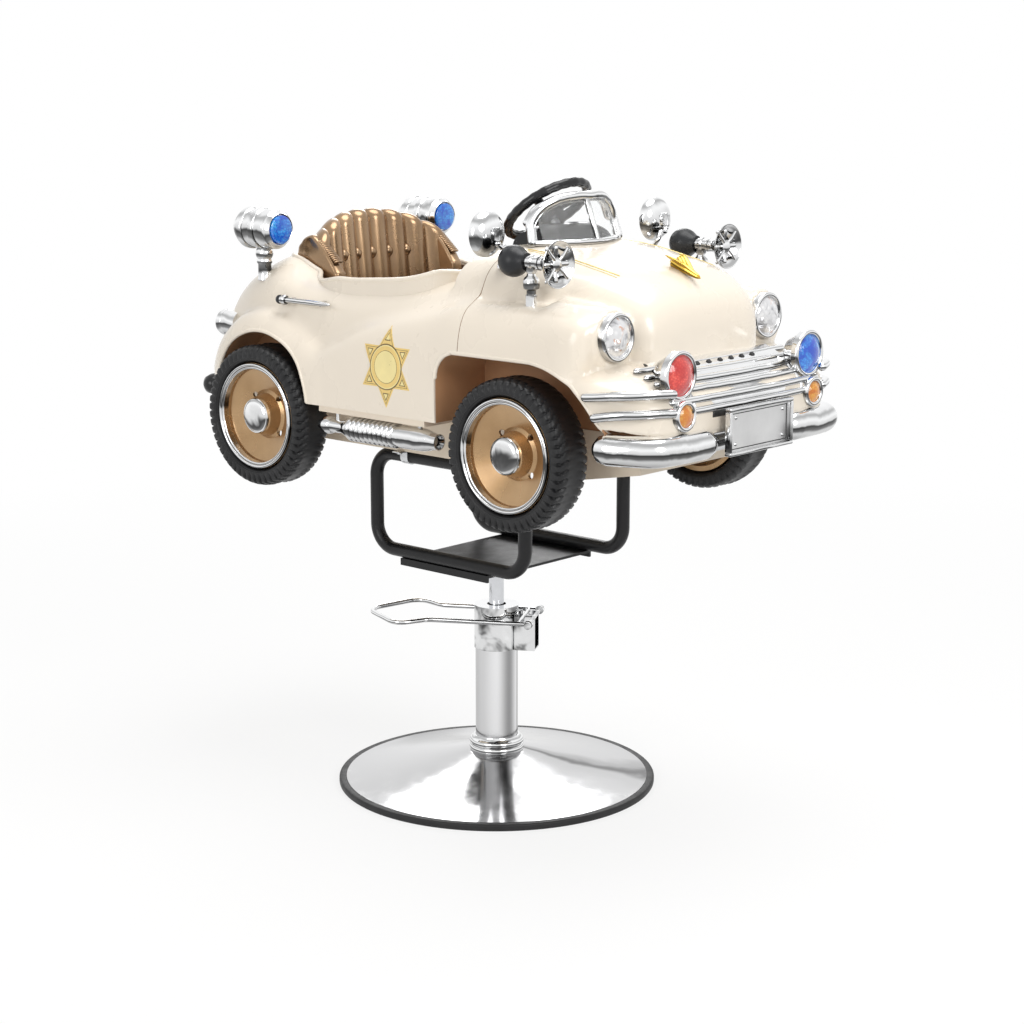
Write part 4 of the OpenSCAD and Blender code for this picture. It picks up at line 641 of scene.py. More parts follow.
def iso(level, drop, step):
    """Surface nets of the body field, drawn onto the surface itself."""
    half = math.ceil((HALF_W + 12) / step)
    axes = [(np.arange(2 * half) - half + 0.5) * step, np.arange(-HALF_L - 12, HALF_L + 12, step),
            np.arange(SILL - 90, SILL + RISE + 20, step)]
    field = body_field(*np.meshgrid(*axes, indexing="ij"), drop) - level
    inside = field < 0
    corners = list(itertools.product((0, 1), repeat=3))
    nx, ny, nz = (m - 1 for m in inside.shape)
    count = sum(inside[i:nx + i, j:ny + j, k:nz + k].astype(np.int8) for i, j, k in corners)
    cells = (count > 0) & (count < 8)
    index = -np.ones(cells.shape, np.int64)
    index[cells] = np.arange(cells.sum())
    at = np.argwhere(cells)
    total, hits = np.zeros(at.shape), np.zeros(len(at))
    for corner in corners:
        for axis in np.eye(3, dtype=int):
            if axis @ corner:
                continue
            fa, fb = field[tuple((at + corner).T)], field[tuple((at + corner + axis).T)]
            cross = (fa < 0) != (fb < 0)
            t = np.where(cross, fa / np.where(cross, fa - fb, 1), 0)
            total += (np.array(corner) + t[:, None] * axis) * cross[:, None]
            hits += cross
    p = np.array([a[0] for a in axes]) + (at + total / hits[:, None]) * step
    for _ in range(3):
        here = body_field(*p.T, drop) - level
        slope = np.stack([(body_field(*(p + e).T, drop) - level - here) / 0.5 for e in 0.5 * np.eye(3)], 1)
        move = slope * (here / np.maximum((slope ** 2).sum(1), 0.2))[:, None]
        p -= np.clip(move, -0.5 * step, 0.5 * step)
    faces = []
    for axis, (o1, o2) in enumerate(((1, 2), (2, 0), (0, 1))):
        low, high = (np.take(inside, range(k, inside.shape[axis] - 1 + k), axis) for k in (0, 1))
        edges = np.argwhere(low != high)
        outer = np.array([cells.shape[o1], cells.shape[o2]])
        edges = edges[((edges[:, [o1, o2]] > 0) & (edges[:, [o1, o2]] < outer)).all(1)]
        quad = []
        for d1, d2 in ((0, 0), (-1, 0), (-1, -1), (0, -1)):
            q = edges.copy()
            q[:, o1] += d1
            q[:, o2] += d2
            quad.append(index[tuple(q.T)])
        quad = np.stack(quad, 1)
        flip = ~low[tuple(edges.T)]
        quad[flip] = quad[flip][:, ::-1]
        faces.append(quad)
    return p, np.vstack(faces).tolist()


def solid(patch, at=None, name="tool"):
    me = bpy.data.meshes.new(name)
    me.from_pydata((moved(patch[0], at) * MM).tolist(), [], [tuple(q) for q in patch[1]])
    me.update()
    ob = bpy.data.objects.new(name, me)
    scene.collection.objects.link(ob)
    return ob


def drop_object(ob):
    me = ob.data
    bpy.data.objects.remove(ob)
    bpy.data.meshes.remove(me)


def boolean(ob, tools, kind="DIFFERENCE"):
    """Cut the tools out of an object, and delete them."""
    for tool in tools:
        mod = ob.modifiers.new("cut", "BOOLEAN")
        mod.object, mod.operation, mod.solver = tool, kind, "MANIFOLD"
    made = bpy.data.meshes.new_from_object(ob.evaluated_get(bpy.context.evaluated_depsgraph_get()))
    ob.modifiers.clear()
    old, ob.data = ob.data, made
    bpy.data.meshes.remove(old)
    for tool in tools:
        drop_object(tool)


def circle_points(cy, cz, r, n=64):
    a = 2 * np.pi * np.arange(n) / n
    return list(zip(cy + r * np.cos(a), cz + r * np.sin(a)))


def front_arch(grow):
    return hull2(circle_points(-322, 686.5, 175 + grow) + circle_points(-163, 815.5, 46 + grow)
                 + [(-497 - grow, PAN_Z - 60), (-117 + grow, PAN_Z - 60)])


def rear_arch(grow):
    return hull2(circle_points(REAR_Y, 727, 131 + grow)
                 + [(REAR_Y - 131 - grow, PAN_Z - 60), (REAR_Y + 131 + grow, PAN_Z - 60)])


def prism(outline, x0, x1, side):
    """Outline on (y, z) run from x0 to x1 on one side."""
    v, f = slab(outline, x1 - x0, x0)
    v = np.asarray(v)[:, [2, 0, 1]] * [side, 1, 1]
    return solid((v, f if side > 0 else [q[::-1] for q in f]))


def upright(half_x, y0, y1, z0, z1):
    """A box on the car's middle line."""
    return solid(slab([(-half_x, y0), (half_x, y0), (half_x, y1), (-half_x, y1)], z1 - z0, z0))


def cut_outline():
    """Rim of the cockpit and seat well seen from above: the outer line of two rounded boxes."""
    middle = 150
    t = np.linspace(0, 420, 841)
    out = []
    for a in np.linspace(0, 2 * np.pi, 160, endpoint=False):
        c, s = math.cos(a), math.sin(a)
        r = 0
        for cy, hx, hy, power in ((101.1, 222, 198.7, 4), (289, 177.3, 87.3, 6)):
            q = (np.abs(c * t / hx) ** power + np.abs((middle + s * t - cy) / hy) ** power) < 1
            r = max(r, t[q].max(initial=0))
        out.append((c * r, middle + s * r))
    return out


WALL = 4.0
BELOW_SILL = 16.0
CABIN = (235, -90, 380, 870)


def make_cup(arch, inside, side, hollow_form):
    """The housing over a wheel, inside the shell and above the sill."""
    cup = prism(arch(3.3), inside, 345, side)
    boolean(cup, [prism(arch(0.3), inside + 3, 350, side), upright(450, -700, 700, SILL - 399.7, SILL + 0.3)])
    boolean(cup, [solid(hollow_form)], "INTERSECT")
    return cup


def make_body():
    step = 7.0
    outer = solid(iso(0.0, 0.0, step), name="body")
    hollow_form = iso(-WALL, BELOW_SILL, step + 1)
    tools = [solid(hollow_form)]
    for side in (-1, 1):
        tools += [prism(front_arch(0), 158.3, 340, side), prism(rear_arch(0), 158.3, 340, side)]
    tools += [solid(slab(cut_outline(), 370, 830)), upright(158.6, -469.6, 499.7, 600, 818),
              upright(350, -650, 650, 500, SILL + 0.3),
              solid(lathe([(0, -700), (16, -700), (16, 0), (0, 0)], 32), SHAFT)]
    boolean(outer, tools)
    boolean(outer, [solid(block(700, 1.2, 900, 0), place((0, SEAM_Y, 900)))])
    cups = [make_cup(arch, inside, side, hollow_form)
            for side in (-1, 1) for arch, inside in ((front_arch, 154.0), (rear_arch, 198.3))]
    parts = {"front": Form(), "tub": Form()}
    for ob in [outer] + cups:
        me = ob.data
        co = np.empty(len(me.vertices) * 3)
        me.vertices.foreach_get("co", co)
        co = co.reshape(-1, 3) / MM
        polys = [tuple(q.vertices) for q in me.polygons]
        mid = np.array([co[list(q)].mean(0) for q in polys])
        # Faces inside the shell take painted shade: tag 1 the darker brown, in the wheel housings and under
        # the shell; tag 2 the lighter brown, in the cockpit.
        half_x, y0, y1, z0 = CABIN
        cabin = (np.abs(mid[:, 0]) < half_x) & (mid[:, 1] > y0) & (mid[:, 1] < y1) & (mid[:, 2] > z0)
        tags = np.where(cabin, 2, 1)
        if ob is outer:
            tags[body_field(*mid.T) > -0.8 * WALL] = 0
            front = mid[:, 1] < SEAM_Y
        else:
            tags[:] = 1
            front = np.full(len(polys), mid[:, 1].mean() < 0)
        for part, keep in (("front", front), ("tub", ~front)):
            chosen = np.nonzero(keep)[0]
            if len(chosen):
                used, back = np.unique(np.concatenate([polys[i] for i in chosen]), return_inverse=True)
                ends = np.cumsum([len(polys[i]) for i in chosen])[:-1]
                parts[part].add((co[used], [tuple(q) for q in np.split(back, ends)]))
                parts[part].m[-len(chosen):] = tags[chosen].tolist()
        drop_object(ob)
    for part, form in parts.items():
        piece("body_" + part, form, "car", ["ivory", "inner_shade", "cabin_shade"],
              [part + "_shell"], angle=30)


def first_hit(line, d, missing):
    """Where the field d, sampled along line from outside, first turns negative."""
    k = int(np.argmax(d < 0))
    if d[k] >= 0:
        return missing
    if k == 0:
        return line[0]
    return line[k - 1] + d[k - 1] / (d[k - 1] - d[k]) * (line[k] - line[k - 1])


def surface_z(x, y, low=820.0, high=1090.0):
    """Height of the body's upper face over a point."""
    z = np.linspace(high, low, 271)
    return first_hit(z, body_field(np.full_like(z, x), np.full_like(z, y), z), low)


def surface_x(y, z, low=150.0, high=310.0):
    """Distance from the middle to the body's outer side, or None."""
    x = np.linspace(high, low, 321)
    return first_hit(x, body_field(x, np.full_like(x, y), np.full_like(x, z)), None)


HELM = np.array([0, py(-0.206), pz(1.173)])
SHAFT = place(HELM, (0, math.sin(math.radians(38.8)), math.cos(math.radians(38.8))))
make_body()


def collar(path, rise, thick):
    """An upright wall on a closed path, sunk a little into the body below."""
    along = np.roll(path, -1, 0) - np.roll(path, 1, 0)
    out = np.stack([along[:, 1], -along[:, 0], 0 * rise], 1)
    out *= thick / 2 / np.linalg.norm(out, axis=1)[:, None]
    top = path + np.outer(rise, (0, 0, 1))
    low = path - [0, 0, 6]
    return skin(np.stack([low - out, top - out, top + out, low + out], 1), closed=True)


def make_edges():
    rims = Form()
    path = np.array([(x, y, surface_z(x, y) - 1.5) for x, y in cut_outline()])
    path[:, 2] = (np.roll(path[:, 2], 1) + 2 * path[:, 2] + np.roll(path[:, 2], -1)) / 4
    rise = 0.5 + between(np.clip(path[:, 1], -96, 250), [-96, -40, 170, 250], [0, 26, 24, 0])
    rims.add(collar(path, rise, 7.0))
    path[:, 2] += rise
    rims.add(tube(path, 5.0, 12, closed=True))
    for arch, middle in ((front_arch(0), FRONT_Y), (rear_arch(0), REAR_Y)):
        on_body = [(surface_x(y, z), y, z) for y, z in arch if z > SILL + 1]
        on_body = [q for q in on_body if q[0] and q[0] > 200]
        on_body.sort(key=lambda q: -math.atan2(q[2] - AXLE_Z, q[1] - middle))
        rims.add(tube(spline(on_body, 2) - [2.5, 0, 0], 4.0, 12), both=True)
    piece("body_edges", rims, "car", ["ivory"])


make_edges()

# Seat


SEAT_HALF = 153
SEAT_FACE = py(0.573)
SEAT_LOW = pz(0.131)
FLUTE_PITCH = 2 * SEAT_HALF / 7.3
FLUTE_R = FLUTE_PITCH * 0.58
LEAN = math.tan(math.radians(6))


def seat_top(x):
    return pz(1.105) - 0.13 * RISE * (abs(x) / SEAT_HALF) ** 2.4


def seat_face(x):
    return SEAT_FACE - 0.06 * HALF_L * (abs(x) / SEAT_HALF) ** 2


def seat_line(x, arcs=12, rows=7):
    """The seat back cut at x: up the fluted front, over the top and down behind."""
    s = 2 * (x / FLUTE_PITCH - math.floor(x / FLUTE_PITCH)) - 1
    bulge = FLUTE_R * math.sqrt(max(0.0, 1 - 0.74 * s * s))
    back = 0.8 * FLUTE_R
    r = (bulge + back) / 2
    top = seat_top(x) - (FLUTE_R - bulge) / 2
    face = seat_face(x)
    mid = face - LEAN * r + (back - bulge) / 2
    line = []
    for i in range(rows):
        z = SEAT_LOW + (top - r - SEAT_LOW) * i / rows
        line.append((x, face - LEAN * (top - z) - bulge * (1 + 0.05 * math.sin(math.pi * i / rows)), z))
    line += [(x, y, z) for y, z in arc(mid, top - r, r, 180, 0, arcs)]
    foot = face - LEAN * (top - SEAT_LOW) + back - mid - r
    for t in (np.arange(rows) + 1) / rows:
        line.append((x, mid + r - LEAN * r * t + foot * t * 0.5, top - r + (SEAT_LOW - top + r) * t))
    return line


def add_bolsters(form):
    """Armrests beside the seat back, with moulded ribs on their slanted fronts."""
    peak = np.array([py(0.517), pz(0.965)])
    toe = np.array([py(0.40), pz(0.77)])
    side = spline([(toe[0] + 6, SEAT_LOW), (toe[0] + 2, (SEAT_LOW + toe[1]) / 2), (toe[0] + 1, toe[1] - 16),
                   toe + [8, 0], (toe + peak) / 2 + [-2, 3], peak + [-8, -3], peak + [8, 1],
                   (SEAT_FACE - 4, pz(0.925)), (SEAT_FACE + 8, pz(0.80)), (SEAT_FACE + 10, SEAT_LOW)], 5)
    along = np.gradient(side, axis=0)
    out = np.column_stack([-along[:, 1], along[:, 0]]) / np.linalg.norm(along, axis=1)[:, None]
    out[((side - side.mean(0)) * out).sum(1) < 0] *= -1
    inset = [(0, 6.5), (1.2, 3.2), (4, 0.9), (8, 0), (13, 0), (18, 0), (22, 0.9), (24.8, 3.2), (26, 6.5)]
    form.add(skin([[(142.5 + x, y, z) for y, z in (side - out * d)[::-1]] for x, d in inset]), both=True)
    run = peak - toe
    lift = np.array([-run[1], run[0]]) / np.linalg.norm(run) + [-2.0, 1.0]
    for i in range(13):
        y, z = toe + run * (0.20 + 0.60 * i / 12) + lift
        form.add(tube([(148, y, z), (155.5, y - 1.2, z + 0.6), (163, y, z)], 2.6, 8), both=True)


def make_seat_back():
    cols = 96
    form = Form().add(skin([seat_line((i / cols - 0.5) * 8 * FLUTE_PITCH * 0.9999) for i in range(cols + 1)]))
    button = [(0, -6), (11.5, -5), (12.5, 0), (12.2, 3), (10.5, 6), (8, 8.5), (4.5, 10.4), (0, 11)]
    for i in range(5):
        x, z = (i - 2) * FLUTE_PITCH, pz(0.825)
        y = seat_face(x) - LEAN * (seat_top(x) - z) - FLUTE_R * 0.51
        form.turn(button, 28, place((x, y + 2, z), (0, -1, -0.1)))
    add_bolsters(form)
    pad = piece("seat_back_padding", form, "car", ["bronze"], ["seat_back"], angle=60)


def make_cushion():
    cy, hy, hx, foot = py(0.266), py(0.141), px(0.43), pz(0.131)
    n, inner = 96, 8
    wall = [(0.97, 0.3), (0.985, 4), (0.995, 10), (1.0, 20), (0.995, 27), (0.975, 32.5), (0.94, 36)]
    rows = [[(x, cy + y, foot + z) for x, y in oval(hx * share, hy * share, 6, n)] for share, z in wall]
    for i in range(inner):
        share = 0.94 * (1 - (i + 1) / (inner + 0.6))
        row = []
        for x, y in oval(hx * share, hy * share, 2.4 + 3.6 * share, n):
            crown = 36 + 5.5 * (1 - (x / hx) ** 2) * (1 - (y / hy) ** 2)
            channel = 1.6 * abs(math.cos(math.pi * x / 43.0)) ** 6
            row.append((x, cy + y, foot + crown - channel))
        rows.append(row)
    form = Form().add(skin(rows))
    seam = [(x, cy + y, foot + 33.5) for x, y in oval(hx * 0.965, hy * 0.965, 6, n)]
    form.add(tube(seam, 2.4, 8, closed=True))
    pad = piece("seat_cushion_pad", form, "car", ["bronze"], ["seat_cushion"], angle=60)


make_seat_back()
make_cushion()

# Wheels

TYRE_W = 75.0
TYRE_MID_R = 115.0
LUGS = 52


def wheel_place(y, side):
    return place(((HALF_W - TYRE_W) * side, y, AXLE_Z), (side, 0, 0), (0, 0, 1))


def add_tyre(form, y, side):
    """A rounded ring, with lugs and ribs dug out of it."""
    profile = []
    for a in np.radians(np.linspace(0, 360, 41)[:-1]):
        c, s = math.cos(a), math.sin(a)
        profile.append((TYRE_MID_R + 16.8 * np.sign(c) * abs(c) ** (2 / 3.4),
                        TYRE_W / 2 * (1 + np.sign(s) * abs(s) ** (2 / 3.0))))
    v, f = lathe(profile, 6 * LUGS, closed=True)
    v = np.array(v)
    r, turn = np.hypot(v[:, 0], v[:, 1]), np.arctan2(v[:, 1], v[:, 0])
    w = v[:, 2] / (TYRE_W / 2) - 1
    shoulder = np.clip((np.abs(w) - 0.30) / 0.08, 0, 1) * np.clip((r - 113.5) / 3, 0, 1)
    wave = (turn * LUGS / (2 * np.pi) + 1.15 * np.abs(w) + np.where(w > 0, 0.0, 0.5)) % 1.0
    lug = 4.2 * np.clip(np.minimum(wave, 0.36 - wave) / 0.07, 0, 1) * shoulder
    rib = 3.4 * np.clip((0.055 - np.abs(np.abs(w) - 0.27)) / 0.03, 0, 1) * (r > 125)
    centre = 2.2 * np.clip((0.04 - np.abs(w)) / 0.03, 0, 1) * (r > 125)
    out = v - np.column_stack([np.cos(turn), np.sin(turn), 0 * r]) * TYRE_MID_R - [0, 0, TYRE_W / 2]
    v -= out / np.linalg.norm(out, axis=1)[:, None] * np.maximum(lug, np.maximum(rib, centre))[:, None]
    at = wheel_place(y, side)
    form.add((v, f), 0, at)
    form.turn(arc(106.5, 73.3, 1.3, 0, 315, 7), 96, at, closed=True)


def add_trim(form, y, side):
    """Two rings on the tyre's wall and the hub cap."""
    at, w = wheel_place(y, side), TYRE_W
    ring = [(97.6, w * 0.86)] + arc(94.8, w * 0.94, 3.0, 20, 170, 8) + [(91.6, w * 0.90)] \
        + arc(89.4, w * 0.915, 2.4, 40, 200, 7) + [(86.6, w * 0.80), (86.9, w * 0.78), (97.6, w * 0.80)]
    form.turn(ring, 120, at, closed=True)
    crown = [(28.5 * math.cos(a), w * 0.93 + 5.0 * math.sin(a)) for a in np.linspace(0.15, 1.35, 7)]
    wall = [(0, w * 0.85), (32.5, w * 0.85), (32.8, w * 0.90), (31.5, w * 0.925), (29.6, w * 0.925)]
    form.turn(wall + crown + [(0, w * 0.93 + 5.0)], 64, at)


for tag, body, y, sides, tyre_node, trim_node in (
        ("front_right", "wheel_right", FRONT_Y, (-1,), "tyre_front_right", "trim_front_right"),
        ("front_left", "wheel_left", FRONT_Y, (1,), "tyre_front_left", "trim_front_left"),
        ("rear", "rear_wheels", REAR_Y, (-1, 1), "tyres_rear", "trims_rear")):
    tread, rings = Form(), Form()
    for side in sides:
        add_tyre(tread, y, side)
        add_trim(rings, y, side)
    piece("tread_" + tag, tread, body, ["tyre"], [tyre_node], angle=32)
    piece("rings_" + tag, rings, body, ["chrome"], [trim_node])

# Lamps


def facing(sx, sy, sz, side=1):
    return place((px(sx) * side, py(sy), pz(sz)), (0, -1, 0))


def bright_piece(name, form, node, mat="chrome"):
    piece(name, form, "car", [mat], [node])


def bezel(form, r, at):
    """Rolled ring round a lens."""
    deep = 14
    form.turn([(r - 9, 0), (r - 1, 0), (r, 1), (r, deep - 5)] + arc(r - 4.2, deep - 4.2, 4.2, 0, 150, 7)
              + [(r - 8.2, deep - 6), (r - 9, deep - 9)], 72, at, closed=True)


def lens_dome(form, r, rise, at):
    """Domed lens with a pressed step round its rim."""
    foot = 9
    big = ((r - 3.2) ** 2 + rise ** 2) / (2 * rise)
    half = math.degrees(math.asin((r - 3.2) / big))
    top = arc(0, foot + 1.2 + rise - big, big, 90 - half, 90, 9)[1:-1]
    form.turn([(0, foot - 5), (r, foot - 5), (r, foot), (r - 2.0, foot + 1.6), (r - 3.2, foot + 1.2)] + top
              + [(0, foot + 1.2 + rise)], 64, at)


bezels, clear_lens, red, blue, amber = (Form() for _ in range(5))
for side in (-1, 1):
    at = facing(0.69, -0.745, 0.567, side)
    bezel(bezels, 41, at)
    lens_dome(clear_lens, 35.8, 12, at)
    at = facing(0.60, -0.925, 0.385, side)
    bezel(bezels, 41, at)
    bezels.turn([(0, -28), (21, -28), (23, -27), (27, -20), (33, -9), (38, -3), (40, 0), (0, 0)], 64, at)
    lens_dome(blue if side > 0 else red, 35.8, 12, at)
    at = facing(0.60, -0.945, 0.168, side)
    bezel(bezels, 26, at)
    bezels.turn([(0, -14), (17, -14), (18.5, -13), (21, -8), (24, -2), (25, 0), (0, 0)], 48, at)
    lens_dome(amber, 20.8, 7.5, at)
    at = facing(0.727, 0.562, 1.01, side)
    blue.turn([(0, -4), (26, -4), (26, 1.5), (24.4, 2.6), (20, 3.4), (10, 4.0), (0, 4.0)], 48, at)
bright_piece("lamp_rings", bezels, "lamp_bezels")
for name, form, look, node in (
        ("headlight_glass", clear_lens, "lens_clear", "headlight_lenses"),
        ("signal_red", red, "lens_red", "red_lens"),
        ("signal_blue", blue, "lens_blue", "blue_lenses"),
        ("marker_amber", amber, "lens_amber", "amber_lenses")):
    piece(name, form, "car", [look], [node])

# Spot lamps behind the seat

spots = Form()
r, l = 39.0, 118.0
housing = [(0, -l), (8, -l), (13, -l + 1.5), (17, -l + 4), (20, -l + 8), (26, -l + 15), (31.5, -l + 23),
           (35, -l + 28)] \
    + arc(r - 4, -l * 0.69, 4, -90, 0, 4) + arc(r - 4, -l * 0.63, 4, 0, 90, 4) \
    + [(r * 0.92, -l * 0.59), (r * 0.92, -l * 0.46)] + arc(r - 3, -l * 0.42, 3, -90, 0, 4) \
    + arc(r - 3, -l * 0.36, 3, 0, 90, 4) \
    + [(r * 0.94, -l * 0.32), (r * 0.95, -l * 0.17), (r * 0.92, -l * 0.14)] \
    + arc(r * 0.86, -l * 0.10, 3, -60, 60, 5) \
    + [(r * 0.84, -l * 0.06), (r * 0.80, -l * 0.02), (r * 0.75, 0), (r * 0.70, -1), (26.6, -4.3), (0, -4.3)]
post = [(0, 0), (13.5, 0), (13.5, 3), (12.4, 5), (12.4, 30), (14.6, 33), (14.6, 37), (12.4, 40), (12.4, 60),
        (0, 60)]
for side in (-1, 1):
    spots.turn(housing, 72, facing(0.727, 0.562, 1.01, side))
    stem = [px(0.727) * side, py(0.562) + 0.4 * l, pz(0.69)]
    spots.turn(post, 40, place(stem))
    spots.add(ball(16.5, 40, 20), 0, place(stem[:2] + [pz(1.01) - 46]))
bright_piece("spot_housings", spots, "spot_lamps")

# Horns

bell = [(11 + 29 * (i / 14) ** 2.2, -42 + 42 * i / 14) for i in range(15)]
inside = [(9.5 + 29 * (i / 14) ** 2.2, -41 + 42 * i / 14) for i in range(13, 0, -1)]
neck = [(0, -73), (11, -73), (11, -62), (12.6, -60), (12.6, -56), (10.2, -54), (10.2, -46), (12.4, -44),
        (12.4, -40), (0, -40)]
hub = [(0, -26), (8.6, -26), (8.6, -10), (11.5, -7), (11.5, -3.5), (9, -2), (5, -1), (0, -0.6)]
post = [(0, 0), (10, 0), (10, 22), (8, 24), (8, 30), (13, 33), (14.2, 38), (14.2, 46), (12, 51), (8.5, 54),
        (7, 58), (9.6, 62), (9.6, 74), (0, 76)]
BULB_R = 27.0
bulb = [(0, -100 - BULB_R)] \
    + [(BULB_R * math.sin(a), -100 - BULB_R * math.cos(a)) for a in np.linspace(0.12, 2.35, 16)] \
    + [(16.6, -75.5), (15.4, -72.5), (15.0, -70.3), (11.4, -70.3), (11.4, -74), (0, -74)]
long_spoke = [(8, -5), (18, -3.4), (30, -3.2), (37.5, -3.8)], [3.6] * 4 + [3.0] * 3 + [3.4] * 2 + [4.2], 0.7
short_spoke = [(12, -9), (20, -7.5), (27, -6.5)], 4.6, 0.55
trumpets, bulbs = Form(), Form()
for side in (-1, 1):
    at = facing(0.77, -0.585, 0.945, side)
    trumpets.turn([(0, -42)] + bell + arc(39.2, -0.6, 0.9, 0, 160, 4) + inside + [(0, -38)], 80, at)
    trumpets.turn(neck, 48, at)
    trumpets.turn(hub, 40, at)
    for k in range(8):
        a = math.radians(45 * k)
        way, up = np.array([math.cos(a), math.sin(a), 0]), np.array([0, 0, 1])
        points, sizes, flat = long_spoke if k % 2 else short_spoke
        path = spline([way * out + up * z for out, z in points], 3)
        trumpets.add(tube(path, sizes, 10, flat=flat, side=up), 0, at)
    trumpets.turn(post, 40, place((px(0.77) * side, py(-0.585) + 60.9, pz(0.69))))
    bulbs.turn(bulb, 56, at)
bright_piece("horn_bells", trumpets, "horn_trumpets")
piece("horn_rubbers", bulbs, "car", ["bulb_rubber"], ["horn_bulbs"])

# Mirrors

cup = [(0, 1.2), (36.6, 1.2), (37.2, 0.2), (39.2, 0), (40, 0.8), (40, 3)] \
    + [(40 * math.cos(a), 3 + 23 * math.sin(a)) for a in np.linspace(0.12, 1.45, 12)] + [(0, 26)]
arms = Form()
for side, tag in ((-1, "right"), (1, "left")):
    head = np.array([px(0.757) * side, py(-0.352), pz(1.082)])
    foot = np.array([px(0.66) * side, py(-0.335), pz(0.90)])
    under = head - [0, 0, 9 + 0.63 * 9 + 0.3]
    arms.add(tube(spline([foot, foot + [0, -9, 11], foot + [side * 2, -15.5, 22], foot + [side * 14, -12, 33],
                          under - [side * 5, 3, 7], under], 6), 4.5, 16))
    arms.turn([(0, -4), (13.5, -4), (13.5, 0), (12, 3), (7.5, 8), (6.0, 10), (0, 10)], 40, place(foot))
    arms.add(ball(5.9, 24, 12), 0, place(under))
    arms.turn([(0, -3), (4, -3), (4, 26.5), (3.2, 27.3), (0, 27.3)], 24, place(under))
    at = place(head + [0, 30, 0], (0, -1, 0))
    shell = Form().turn(cup, 72, at)
    shell.turn([(0, -9), (8, -9), (8, 9), (0, 9)], 32, place(head))
    shell.turn([(0, 24), (9, 24), (9, 27.5), (7, 28.8), (0, 29.2)], 32, at)
    shell.turn([(0, 0.9), (36.5, 0.9), (36.5, 1.0), (0, 1.6)], 64, at, mat=1)
    piece("mirror_cup_" + tag, shell, "mirror_head_" + tag, ["chrome", "rod_chrome"],
          ["mirror_" + tag])
bright_piece("mirror_stems", arms, "mirror_arms")

# Front end: slats, side bars, bumper, plate

SLATS = [(-0.832, 0.389), (-0.868, 0.359), (-0.903, 0.331), (-0.932, 0.292), (-0.954, 0.242), (-0.961, 0.185)]
NOSE_R = 2504.0
PLATE_HALF = 168


def on_nose(x, sy, z):
    """A point on the slats' bow, which is nearly a circle of NOSE_R seen from above."""
    return np.array([x, py(sy) + x * x / (2 * NOSE_R), z])


def slat_at(x, i):
    return on_nose(x, SLATS[i][0], pz(SLATS[i][1]))


grille = Form()
for i in range(len(SLATS)):
    grille.add(tube([slat_at(x, i) for x in np.linspace(-200, 200, 33)], 6.4, 14))
for side in (-1, 1):
    grille.add(tube([slat_at(150 * side, i) for i in range(len(SLATS))], 4, 12))
    for level in (0.30, 0.195):
        bar = [(0.955, -0.76 - 0.3 * (0.30 - level), level - 0.03), (0.93, -0.85, level - 0.01),
               (0.85, -0.915, level), (0.70, -0.955, level)]
        grille.add(tube(spline([(px(x) * side, py(y), pz(z)) for x, y, z in bar], 8), 8, 18))
# A bright plate lies on the nose behind the slats, with a broad band along its top.
profile = [(-0.806, 0.4215), (-0.812, 0.424), (-0.832, 0.409), (-0.868, 0.375), (-0.874, 0.366),
           (-0.905, 0.328), (-0.935, 0.283), (-0.955, 0.235), (-0.9585, 0.20), (-0.9585, 0.13), (-0.94, 0.13)]
grille.add(skin([[on_nose(x, sy, pz(sz) - 1.2 * (x / PLATE_HALF) ** 2) for sy, sz in profile]
                 for x in np.linspace(-PLATE_HALF, PLATE_HALF, 43)]))
bright_piece("grille_slats", grille, "grille", "bright")
# The square holes in the nose plate are near-black blocks laid on it: painted shade in the openings.
hole_shade = Form()
for k in range(7):
    at = place(on_nose(31 * (k - 3), -0.850, pz(0.394) + 0.3), (0, -0.62, 0.78), (1, 0, 0))
    hole_shade.add(block(8, 7, 3, 0.6), 0, at)
piece("grille_hole_shade", hole_shade, "car", ["dark_slot"])

bumper = Form()
z = pz(-0.01)
front = -HALF_L + 26
for side in (-1, 1):
    path = [(0.42, front + 4), (0.56, front + 5), (0.70, front + 8), (0.79, py(-0.93)), (0.86, py(-0.872)),
            (0.90, py(-0.815))]
    bumper.add(tube(spline([(px(x) * side, y, z) for x, y in path], 6), 26, 28, side=(0, 0, 1)))
    bumper.add(tube([[px(0.35) * side, front + 13, z], [px(0.35) * side, py(-0.78) - 10.8, z]], 10.5, 20))
bumper.add(tube([[-px(0.44), front + 13, z], [0, front + 12, z], [px(0.44), front + 13, z]], 18.2, 24))
bright_piece("bumper_front", bumper, "front_bumper", "bright")


def plate_place(dx, dy, dz):
    return dx, dy - HALF_L, pz(0.045) + dz


plate = Form().add(block(166, 5, 68, 0.6), 1, place(plate_place(0, 9.2, 0)))
for way in (-1, 1):
    plate.add(block(178, 12, 6, 1.6, 3), 0, place(plate_place(0, 6, 37 * way)))
    plate.add(block(6, 12, 68, 1.6, 3), 0, place(plate_place(86 * way, 6, 0)))
    plate.add(block(156, 0.8, 1.4, 0.2, 1), 2, place(plate_place(0, 6.5, 29.5 * way)))
    plate.add(block(1.4, 0.8, 60, 0.2, 1), 2, place(plate_place(77.3 * way, 6.5, 0)))
    for dx in (-66, 66):
        plate.add(dome(3.4, 0.4, 1.4, 20, 4), 0, place(plate_place(dx, 6.7, 22 * way), (0, -1, 0)))
piece("plate_bare", plate, "car", ["bright", "plate", "dark_slot"], ["licence_plate"])

# Hood ornament: a plain winged form

